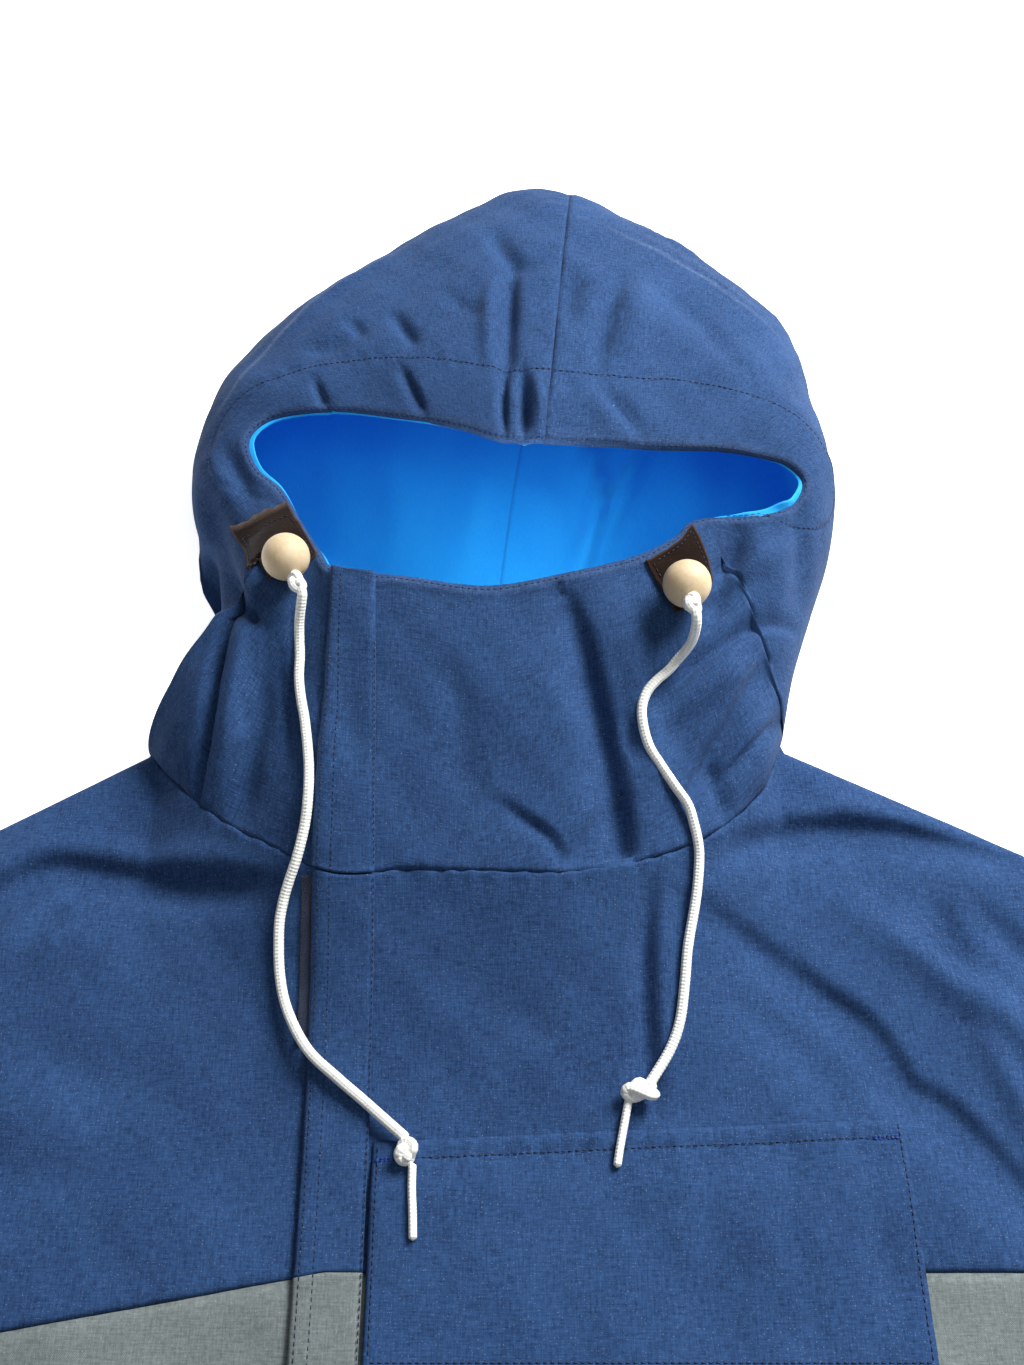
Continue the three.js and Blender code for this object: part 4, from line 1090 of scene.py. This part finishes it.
class ANORAK_OT_patches(bpy.types.Operator):
    """Cuts the suede patches that lie on the hood behind the beads"""

    bl_idname = "anorak.patches"
    bl_label = "Suede patches"

    def execute(self, context):
        thread = Stitches("patch_stitches")
        for side, (first, last) in PATCHES.items():
            def surface(a, b, lift):
                """Points and normals of the patch at a across and b down."""
                points, normals = np.zeros((len(a), 3)), np.zeros((len(a), 3))
                for k, (u, v) in enumerate(zip(a, b)):
                    t = mix(mix(first[0][0], first[1][0], v), mix(last[0][0], last[1][0], v), u)
                    row = mix(mix(first[0][1], first[1][1], v), mix(last[0][1], last[1][1], v), u)
                    p, n = hood_face([t], [row], lift)
                    points[k], normals[k] = p[0, 0], n[0, 0]
                return points, normals

            steps = 26
            a, b = np.meshgrid(np.linspace(0, 1, steps), np.linspace(0, 1, steps), indexing="ij")
            ragged = 0.005 * np.sin(a * 23 + b * 11) + 0.004 * np.sin(b * 31 + a * 19)
            near = np.minimum.reduce([a, b, 1 - a, 1 - b])
            a2 = a + ragged * (near < 0.01)
            b2 = b + 0.8 * ragged * (near < 0.01)
            points, normals = surface(a2.ravel(), b2.ravel(), PATCH_LIFT + SUEDE)
            dish = 0.5 * (1 - np.exp(-near.ravel() * 9)) - 0.55 * np.exp(-((near.ravel() - 0.075) / 0.03) ** 2)
            grid = (points + normals * dish[:, None]).reshape(steps, steps, 3)
            piece = sheet_piece(f"patch_{side}_suede", grid, SUEDE)
            raw = piece.data.attributes.new("raw_edge", "FLOAT", "POINT")
            shade = np.exp(-near.ravel() / 0.012)
            count = len(piece.data.vertices)
            raw.data.foreach_set("value", np.resize(shade, count).astype(np.float32))
            finish_piece(piece, material_of("suede"), "brown_suede", f"patch_{side}")
            inset = 0.085
            ring = [(inset, s) for s in np.linspace(inset, 1 - inset, 14)]
            ring += [(s, 1 - inset) for s in np.linspace(inset, 1 - inset, 14)]
            ring += [(1 - inset, s) for s in np.linspace(1 - inset, inset, 14)]
            ring += [(s, inset) for s in np.linspace(1 - inset, inset, 14)]
            ring = np.array(ring)
            route, up = surface(ring[:, 0], ring[:, 1], PATCH_LIFT + SUEDE + 0.05)
            thread.run(route, up, 2.1, 0.9, 0.5)
        thread.make(material_of("thread"), "navy_cotton")
        return {"FINISHED"}


def hood_rows(fine, coarse):
    return np.concatenate([np.linspace(0, 7, fine, endpoint=False), np.linspace(7, HOOD_ROWS, coarse)])


class ANORAK_OT_hood(bpy.types.Operator):
    """Sews the hood's two shell halves, with the casing, brim and seam stitches"""

    bl_idname = "anorak.hood"
    bl_label = "Hood shell"

    def execute(self, context):
        for side, t0, t1 in (("left", OPENING_T, CREST_T), ("right", CREST_T, OPENING_T + 2)):
            ts = t0 + (t1 - t0) * np.linspace(0, 1, 236)
            rows = hood_rows(78, 34)
            grid, normals = hood_face(ts, rows)
            travel = distances(grid[:, 0])
            fall = column_distances(grid)
            brim = 0.55 * np.exp(-((fall - 4.5) / 2.6) ** 2) - 1.1 * np.exp(-(fall / 1.4) ** 2)
            casing = casing_fall(ts % 2)[:, None]
            brim += np.where(casing > 0, seam_pucker(fall - casing, travel[:, None], 0.5, 1.4, 0.3), 0)
            crest = np.abs((ts % 2) - CREST_T)[:, None] * 320
            brim += seam_pucker(crest, fall, 0.45, 1.2, 0.3)
            neck = fall[:, -1:] - fall
            brim += seam_pucker(neck, travel[:, None], 0.5, 1.3, 0.35)
            grid = grid + normals * brim[..., None]
            grid[..., 2] = np.maximum(grid[..., 2], 0.1 + 2.4 * (normals[..., 2] > 0))
            # Painted sheen: pale lines on upward-facing cloth along the crown's top edges, where light catches them;
            # the next line adds a fainter pale band along the face opening's edge
            wear_and_sheen = relief(grid[..., 0], grid[..., 1], SHEEN_LINES) * (normals[..., 2] > 0.2)
            wear_and_sheen += 0.12 * np.exp(-((fall - 3.5) / 1.8) ** 2)
            piece = sheet_piece(f"hood_{side}_cloth", grid, CLOTH, wear_and_sheen=wear_and_sheen)
            finish_piece(piece, material_of("navy"), "navy_cotton", f"hood_{side}")
        self.stitch()
        return {"FINISHED"}

    def stitch(self):
        thread = Stitches("hood_stitches")
        crown = np.linspace(1.03, 1.93, 240)
        casing = casing_fall(crown)
        points, normals = [], []
        for t, fall in zip(crown, casing):
            p, n = hood_at_fall(t, fall)
            points.append(p)
            normals.append(n)
        thread.run(points, normals)
        mouth = np.linspace(0, 2, 480)
        pairs = [hood_at_fall(t, 2.2) for t in mouth]
        thread.run([p for p, _ in pairs], [n for _, n in pairs])
        thread.make(material_of("thread"), "navy_cotton")


def casing_fall(t):
    """How far below the face opening's edge the casing's stitches run, in millimetres. Under zero is none."""
    return np.interp(np.asarray(t, float), [1.0, 1.08, 1.2, 1.3, 1.47, 1.57, 1.75, 1.82, 1.87, 1.93, 2.0],
                     [-1, -1, 38, 41, 48, 49, 47, 36, 30, 26, -1])


def hood_at_fall(t, fall, lift=0.05):
    """A point of the hood so many millimetres below the face opening's edge, and its normal."""
    rows = np.linspace(0, HOOD_ROWS, 141)
    line = hood_points(t, rows)
    lengths = distances(line)
    row = float(np.interp(fall, lengths, rows))
    p, n = hood_face([t], [row], lift)
    return p[0, 0], n[0, 0]


def lining_rows(t, steps):
    end = mix(6.6, 13.0, float(smooth(1.02, 1.2, t) * (1 - smooth(1.8, 1.92, t))))
    return np.linspace(0, 1, steps) ** 1.15 * (end - 0.02) + 0.02


def lining_column(t, steps):
    """(points, floor share) of the lining from the face opening to where the hood's back lies."""
    rows = lining_rows(t % 2, steps)
    base, normals = hood_grid([t], rows)
    base = brim_roll([t], base)
    up = smooth(0.05, 0.45, normals[..., 2])
    rise = relief(base[..., 0], base[..., 1], HOOD_FOLDS) * up * smooth(0, 0.5, rows + 0.12)
    inside = -mix(CLOTH + 0.25, CLOTH + 1.45 + 3 * up[0], smooth(0.25, 1.3, rows))
    column = (base + normals * (1.7 * np.minimum(rise, 0) + 0.6 * np.maximum(rise, 0) + inside)[..., None])[0]
    floor = smooth(-0.2, -0.7, normals[0, :, 2])
    column[:, 2] += floor * np.maximum(0, relief(column[:, 0], column[:, 1], LINING_FOLDS) + 0.6)
    shown = lining_shown(t % 2)
    outward = unit(column[:1] - column[3:4])
    roll = np.maximum(0, 1 - rows / 0.8)[:, None] ** 2
    return column + roll * (outward * shown + normals[0, :1] * 0.5 * shown), floor


def lining_shown(t):
    """How far the lining rolls out past the face opening's edge, in millimetres."""
    return float(np.interp(t, [1.0, 1.06, 1.14, 1.2, 1.3, 1.6, 1.76, 1.84, 1.92, 1.96, 2.0],
                           [0, 2.6, 4, 2, 0, 0, 1.2, 1.6, 2.6, 1.5, 0]))


class ANORAK_OT_lining(bpy.types.Operator):
    """Sews the hood's azure lining, with its seams"""

    bl_idname = "anorak.lining"
    bl_label = "Hood lining"

    def execute(self, context):
        lying = []
        for side, t0, t1 in (("left", OPENING_T, CREST_T), ("right", CREST_T, OPENING_T + 2)):
            ts = t0 + (t1 - t0) * np.linspace(0, 1, 190)
            columns = [lining_column(t, 80) for t in ts]
            grid = np.stack([points for points, _ in columns])
            lying.append(grid[np.stack([floor for _, floor in columns]) > 0.02])
            piece = sheet_piece(f"hood_lining_{side}_cloth", grid, LINING)
            finish_piece(piece, material_of("azure"), "azure_lining", f"hood_lining_{side}")
        self.seams(np.vstack(lying))
        return {"FINISHED"}

    def seams(self, lying):
        thread = Stitches("lining_seams")
        for seam in LINING_SEAMS:
            line = smooth_route(seam, 24)
            gap = np.linalg.norm(line[:, None] - lying[None, :, :2], axis=-1)
            best = np.argsort(gap, 1)[:, :6]
            share = 1 / (np.take_along_axis(gap, best, 1) + 0.3)
            z = (lying[best, 2] * share).sum(1) / share.sum(1)
            z = np.convolve(np.pad(z, 4, mode="edge"), np.ones(9) / 9, mode="valid")
            thread.run(np.column_stack([line, z + 0.15]), (0, 0, 1), 2.6, 0.3, 0.6)
        thread.make(material_of("lining_thread"), "azure_lining")


def in_neck(x):
    """1 over the width of the neck seam, fading to 0 at its ends."""
    x = np.asarray(x, float)
    return smooth(0, 12, np.minimum(x - NECK_LINE[0, 0] - 4, NECK_LINE[-1, 0] - 4 - x))


def tucked_top(x):
    """The fronts' upper edge, which goes on under the hood at the neck seam."""
    inside = np.minimum(x - NECK_LINE[0, 0], NECK_LINE[-1, 0] - x)
    corner = np.where(inside > 0, 1 - np.clip(inside / 9, 0, 1), 0)
    return body_top(x) + 5 * in_neck(x) + 4.5 * corner


class ANORAK_OT_fronts(bpy.types.Operator):
    """Cuts and sews the four front panels"""

    bl_idname = "anorak.fronts"
    bl_label = "Fronts"

    def execute(self, context):
        seam = float(along(NECK_FRONT, OPENING_T)[0])
        spans = {"right": (-HALF_CHEST, seam), "left": (seam + SEAM_GAP, HALF_CHEST)}
        for side, (x0, x1) in spans.items():
            xs = np.linspace(x0, x1, int((x1 - x0) / 2.3))
            grid = body_grid(xs, tucked_top, lambda x: colour_seam_y(x) + SEAM_GAP, 108, 1.1)
            x, y = grid[..., 0], grid[..., 1]
            below = body_top(x) + 2 - y
            low = seam_pucker(y - colour_seam_y(x), x)
            neck = seam_pucker(below, x, 0.3, 1.2, 0.5) * in_neck(x) * (below > -1)
            grid[..., 2] += low + neck - 2.3 * (1 - smooth(-1.6, 0.4, below)) * in_neck(x)
            piece = sheet_piece(f"front_upper_{side}_cloth", grid, CLOTH, flat_uvs(grid))
            finish_piece(piece, material_of("navy"), "navy_cotton", f"front_upper_{side}")
            xs = np.linspace(x0, x1, int((x1 - x0) / 4.0))
            grid = body_grid(xs, colour_seam_y, lambda x: np.full_like(x, HEM_Y), 96)
            x, y = grid[..., 0], grid[..., 1]
            grid[..., 2] += seam_pucker(colour_seam_y(x) - y, x, 0.8, 2.2, 0.3)
            piece = sheet_piece(f"front_lower_{side}_cloth", grid, CLOTH, flat_uvs(grid))
            finish_piece(piece, material_of("grey"), "grey_cotton", f"front_lower_{side}")
        return {"FINISHED"}


class ANORAK_OT_backs(bpy.types.Operator):
    """Cuts the two back panels, flat on the surface"""

    bl_idname = "anorak.backs"
    bl_label = "Backs"

    def execute(self, context):
        def back_seam(x):
            share = (np.asarray(x) + HALF_CHEST) / (2 * HALF_CHEST)
            return mix(colour_seam_y(-HALF_CHEST), COLOUR_SEAM_Y, share)

        def back_top(x):
            neck = along(NECK_BACK, np.linspace(1.96, 1.04, 90))
            inside = (x > -165) & (x < 160)
            return np.where(inside, np.interp(x, neck[:, 0], neck[:, 1]) - 0.6, shoulder_y(x) - 2)

        xs = np.linspace(-HALF_CHEST, HALF_CHEST, 124)
        for name, top, bottom, steps, kind, slot in (
            ("back_upper", back_top, lambda x: back_seam(x) + SEAM_GAP, 44, "navy", "navy_cotton"),
            ("back_lower", back_seam, lambda x: np.full_like(x, HEM_Y), 84, "grey", "grey_cotton"),
        ):
            grid = body_grid(xs, top, bottom, steps, face=lambda x, y: np.full(np.shape(x), CLOTH))
            piece = sheet_piece(f"{name}_cloth", grid, CLOTH, flat_uvs(grid))
            finish_piece(piece, material_of(kind), slot, name)
        return {"FINISHED"}


class ANORAK_OT_sleeves(bpy.types.Operator):
    """Sews the two sleeves, each a tube laid flat"""

    bl_idname = "anorak.sleeves"
    bl_label = "Sleeves"

    def execute(self, context):
        turn = math.radians(CUFF_ANGLE)
        reach = np.array([math.sin(turn), math.cos(turn)]) * CUFF_HALF
        cuff = np.array([CUFF_X, CUFF_Y], float)
        root = HALF_CHEST + SEAM_GAP
        lower = (np.array([root, ARMHOLE_Y]), cuff - reach)
        r = FRONT_Z / 2
        for side, sign in (("left", 1), ("right", -1)):
            upper = (np.array([root, float(shoulder_y(root * sign))]), cuff + reach)
            rings = []
            for s in np.linspace(0, 1, SLEEVE_STEPS):
                bow = SLEEVE_BOW * math.sin(math.pi * s)
                a = mix(upper[0], upper[1], s) + (bow, bow)
                b = mix(lower[0], lower[1], s) + (-bow, bow)
                across = a - b
                half = np.linalg.norm(across) / 2
                across = across / np.linalg.norm(across)
                centre = (a + b) / 2
                flat = np.linspace(-1, 1, 44)[1:-1] * (half - r)
                arc = np.linspace(-math.pi / 2, math.pi / 2, 9)
                section = [(half - r + r * math.cos(q), r + r * math.sin(q)) for q in arc]
                section += [(v, 2 * r) for v in flat[::-1]]
                section += [(-(half - r) - r * math.cos(q), r - r * math.sin(q)) for q in arc]
                section += [(v, 0.0) for v in flat]
                section = np.array(section)
                place = centre + across * section[:, :1]
                rings.append(np.hstack([place, section[:, 1:]]))
            grid = np.stack(rings)
            top = smooth(r, 2 * r, grid[..., 2])
            x, y = grid[..., 0], grid[..., 1]
            lift = relief(x, y, SLEEVE_FOLDS) + unevenness(x * sign, y)
            start = smooth(0, 3, np.arange(SLEEVE_STEPS))[:, None]
            grid[..., 2] += np.maximum(lift, -5.2) * top * mix(0.35, 1, start)
            cuff_edge = np.arange(SLEEVE_STEPS)[::-1, None] * 4.4
            grid[..., 2] -= top * 0.7 * np.exp(-((cuff_edge - 26) / 5) ** 2)
            grid[..., 0] *= sign
            if sign > 0:
                grid = grid[:, ::-1]
            closed = np.swapaxes(grid, 0, 1)
            girth = np.concatenate([[0], np.cumsum(np.linalg.norm(np.diff(closed, axis=0), axis=2).mean(1))])
            down = np.linspace(0, 470, SLEEVE_STEPS)
            uvs = np.stack(np.broadcast_arrays(girth[:, None], -down[None]), -1)
            piece = sheet_piece(f"sleeve_{side}_cloth", closed, CLOTH, uvs, around=True)
            finish_piece(piece, material_of("navy"), "navy_cotton", f"sleeve_{side}")
        return {"FINISHED"}


def placket_height(x, y):
    return body_face(x, y) + PLACKET_LIFT + DOUBLE_CLOTH


class ANORAK_OT_placket(bpy.types.Operator):
    """Sews the placket's three pieces and the loop tape beside it"""

    bl_idname = "anorak.placket"
    bl_label = "Placket"

    def execute(self, context):
        thread = Stitches("placket_stitches")
        lift = PLACKET_LIFT + DOUBLE_CLOTH
        ts = np.linspace(PLACKET_T, PLACKET_SEAM_T, 26)
        rows = hood_rows(70, 60)
        grid, normals = hood_face(ts, rows, lift)
        grid = grid + normals * edge_roll(len(ts), len(rows))[..., None]
        piece = sheet_piece("placket_collar_cloth", grid, DOUBLE_CLOTH)
        finish_piece(piece, material_of("navy"), "navy_cotton", "placket_collar")
        xs = along(NECK_FRONT, ts)[:, 0]
        for name, top, bottom, steps, kind, slot, under in (
            ("chest", body_top, lambda x: colour_seam_y(x) + SEAM_GAP, 130, "navy", "navy_cotton",
             "front_upper_right"),
            ("lower", colour_seam_y, lambda x: np.full_like(x, PLACKET_END_Y), 80, "grey", "grey_cotton",
             "front_lower_right"),
        ):
            grid = body_grid(xs, top, bottom, steps, face=placket_height)
            grid[..., 2] += edge_roll(*grid.shape[:2])
            piece = sheet_piece(f"placket_{name}_cloth", grid, DOUBLE_CLOTH, flat_uvs(grid))
            finish_piece(piece, material_of(kind), slot, f"placket_{name}")
        for share, from_row in ((0.09, 0.2), (0.29, 0.2), (0.985, 3.4)):
            t = mix(PLACKET_T, PLACKET_SEAM_T, share)
            p, n = hood_face([t], np.linspace(from_row, 13.95, 120), lift + 0.05)
            thread.run(p[0], n[0])
            x = float(mix(xs[0], xs[-1], share))
            y = np.linspace(float(body_top(np.array([x]))[0]) - 1, PLACKET_END_Y + 3, 300)
            z = placket_height(np.full(300, x), y) + 0.05
            thread.run(np.stack([x * taper(y), y, z], -1), (0, 0, 1))
        thread.make(material_of("thread"), "navy_cotton")
        self.tape()
        return {"FINISHED"}

    def tape(self):
        xs = np.linspace(-79.5, -62, 16)
        grid = body_grid(xs, lambda x: np.full_like(x, -8.0), lambda x: np.full_like(x, -83.0), 60,
                         face=lambda x, y: body_face(x, y) + LAYER_GAP + 1.1)
        piece = sheet_piece("loop_tape_pile", grid, 1.2, flat_uvs(grid))
        finish_piece(piece, material_of("tape"), "loop_tape", "loop_tape")


def edge_roll(columns, rows):
    """Rounds the long edges of the placket and draws them down."""
    s = np.linspace(0, 1, columns)
    roll = -0.9 * np.exp(-(s * 30 / 1.1) ** 2) - 1.4 * np.exp(-((1 - s) * 30 / 1.4) ** 2)
    roll += 0.35 * np.exp(-((s * 30 - 5) / 3.2) ** 2)
    return np.broadcast_to(roll[:, None], (columns, rows))


def flap_height(x, y):
    below = FLAP_LIFT * smooth(FLAP_TOP - 2, POCKET_TOP + 6, y)
    lift = LAYER_GAP + CLOTH + 0.2
    return body_face(x, y) + lift + below + relief(x, y, FLAP_FOLDS)


def flap_top(x):
    return FLAP_TOP + FLAP_RISE * (np.asarray(x, float) - FLAP_X0)


class ANORAK_OT_pocket(bpy.types.Operator):
    """Sews the chest pocket and its flap, with topstitches and bar tacks"""

    bl_idname = "anorak.pocket"
    bl_label = "Pocket"

    def execute(self, context):
        xs = np.linspace(POCKET_X0, POCKET_X1, 60)
        grid = body_grid(xs, lambda x: np.full_like(x, POCKET_TOP), lambda x: np.full_like(x, POCKET_BOTTOM), 60,
                         face=lambda x, y: body_face(x, y) + LAYER_GAP + CLOTH)
        piece = sheet_piece("pocket_cloth", grid, CLOTH, flat_uvs(grid))
        finish_piece(piece, material_of("navy"), "navy_cotton", "pocket")
        xs = np.linspace(FLAP_X0, FLAP_X1, 156)
        grid = body_grid(xs, flap_top, lambda x: np.full_like(x, FLAP_BOTTOM), 62, face=flap_height)
        x, y = grid[..., 0], grid[..., 1]
        ends = np.minimum(x - FLAP_X0 * taper(y), FLAP_X1 * taper(y) - x)
        grid[..., 2] += -0.8 * np.exp(-(ends / 1.2) ** 2) + seam_pucker(flap_top(x) - y, x, 1.0, 1.4, 0.35)
        grid[..., 2] += seam_pucker(flap_top(x) - y - 8, x, 0.5, 1.0, 0.3)
        piece = sheet_piece("pocket_flap_cloth", grid, CLOTH, flat_uvs(grid))
        finish_piece(piece, material_of("navy"), "navy_cotton", "pocket_flap")
        self.stitch()
        return {"FINISHED"}

    def stitch(self):
        thread, tacks = Stitches("pocket_stitches"), Stitches("pocket_bar_tacks")

        def lay(x, y, run, **sizes):
            x, y = np.broadcast_arrays(np.asarray(x, float), np.asarray(y, float))
            z = flap_height(x, y) + 0.05
            run(np.stack([x * taper(y), y, z], -1), (0, 0, 1), **sizes)

        xs = np.linspace(FLAP_X0 + 3, FLAP_X1 - 3, 200)
        lay(xs, flap_top(xs) - 8, thread.run)
        lay(xs, np.full(200, FLAP_BOTTOM + 2.6), thread.run)
        for x in (FLAP_X0 + 2.6, FLAP_X1 - 2.6):
            lay(np.full(60, x), np.linspace(float(flap_top(x)) - 2, FLAP_BOTTOM + 3, 60), thread.run)
        for x0, x1 in ((FLAP_X0 + 1.5, FLAP_X0 + 10), (FLAP_X1 - 15, FLAP_X1 - 1.5)):
            for y in (7.4, 8.0, 8.6):
                xs = np.linspace(x0, x1, 24)
                lay(xs, flap_top(xs) - y, tacks.run, length=1.9, gap=0.1, thick=0.5)
        thread.make(material_of("thread"), "navy_cotton")
        tacks.make(material_of("bar_tack"), "navy_cotton")


class ANORAK_PT_panel(bpy.types.Panel):
    """Lists the anorak's pieces"""

    bl_idname = "ANORAK_PT_panel"
    bl_label = "Anorak"
    bl_space_type = "VIEW_3D"
    bl_region_type = "UI"
    bl_category = "Anorak"

    def draw(self, context):
        for made in OPERATORS:
            self.layout.operator(made.bl_idname)
        for group in (context.scene.anorak_sizes, context.scene.anorak_colours):
            for key in group.bl_rna.properties.keys():
                if key not in ("rna_type", "name"):
                    self.layout.prop(group, key)


OPERATORS = (ANORAK_OT_stage, ANORAK_OT_cords, ANORAK_OT_beads, ANORAK_OT_patches, ANORAK_OT_hood,
             ANORAK_OT_lining, ANORAK_OT_fronts, ANORAK_OT_backs, ANORAK_OT_sleeves, ANORAK_OT_placket,
             ANORAK_OT_pocket)
CLASSES = (AnorakSizes, AnorakColours, *OPERATORS, ANORAK_PT_panel)


def register():
    for made in CLASSES:
        bpy.utils.register_class(made)
    bpy.types.Scene.anorak_sizes = bpy.props.PointerProperty(type=AnorakSizes)
    bpy.types.Scene.anorak_colours = bpy.props.PointerProperty(type=AnorakColours)


def unregister():
    del bpy.types.Scene.anorak_colours
    del bpy.types.Scene.anorak_sizes
    for made in reversed(CLASSES):
        bpy.utils.unregister_class(made)


def main():
    register()
    bpy.ops.anorak.stage()
    bpy.ops.anorak.cords()
    bpy.ops.anorak.beads()
    bpy.ops.anorak.patches()
    bpy.ops.anorak.hood()
    bpy.ops.anorak.lining()
    bpy.ops.anorak.fronts()
    bpy.ops.anorak.backs()
    bpy.ops.anorak.sleeves()
    bpy.ops.anorak.placket()
    bpy.ops.anorak.pocket()


if __name__ == "__main__":
    main()
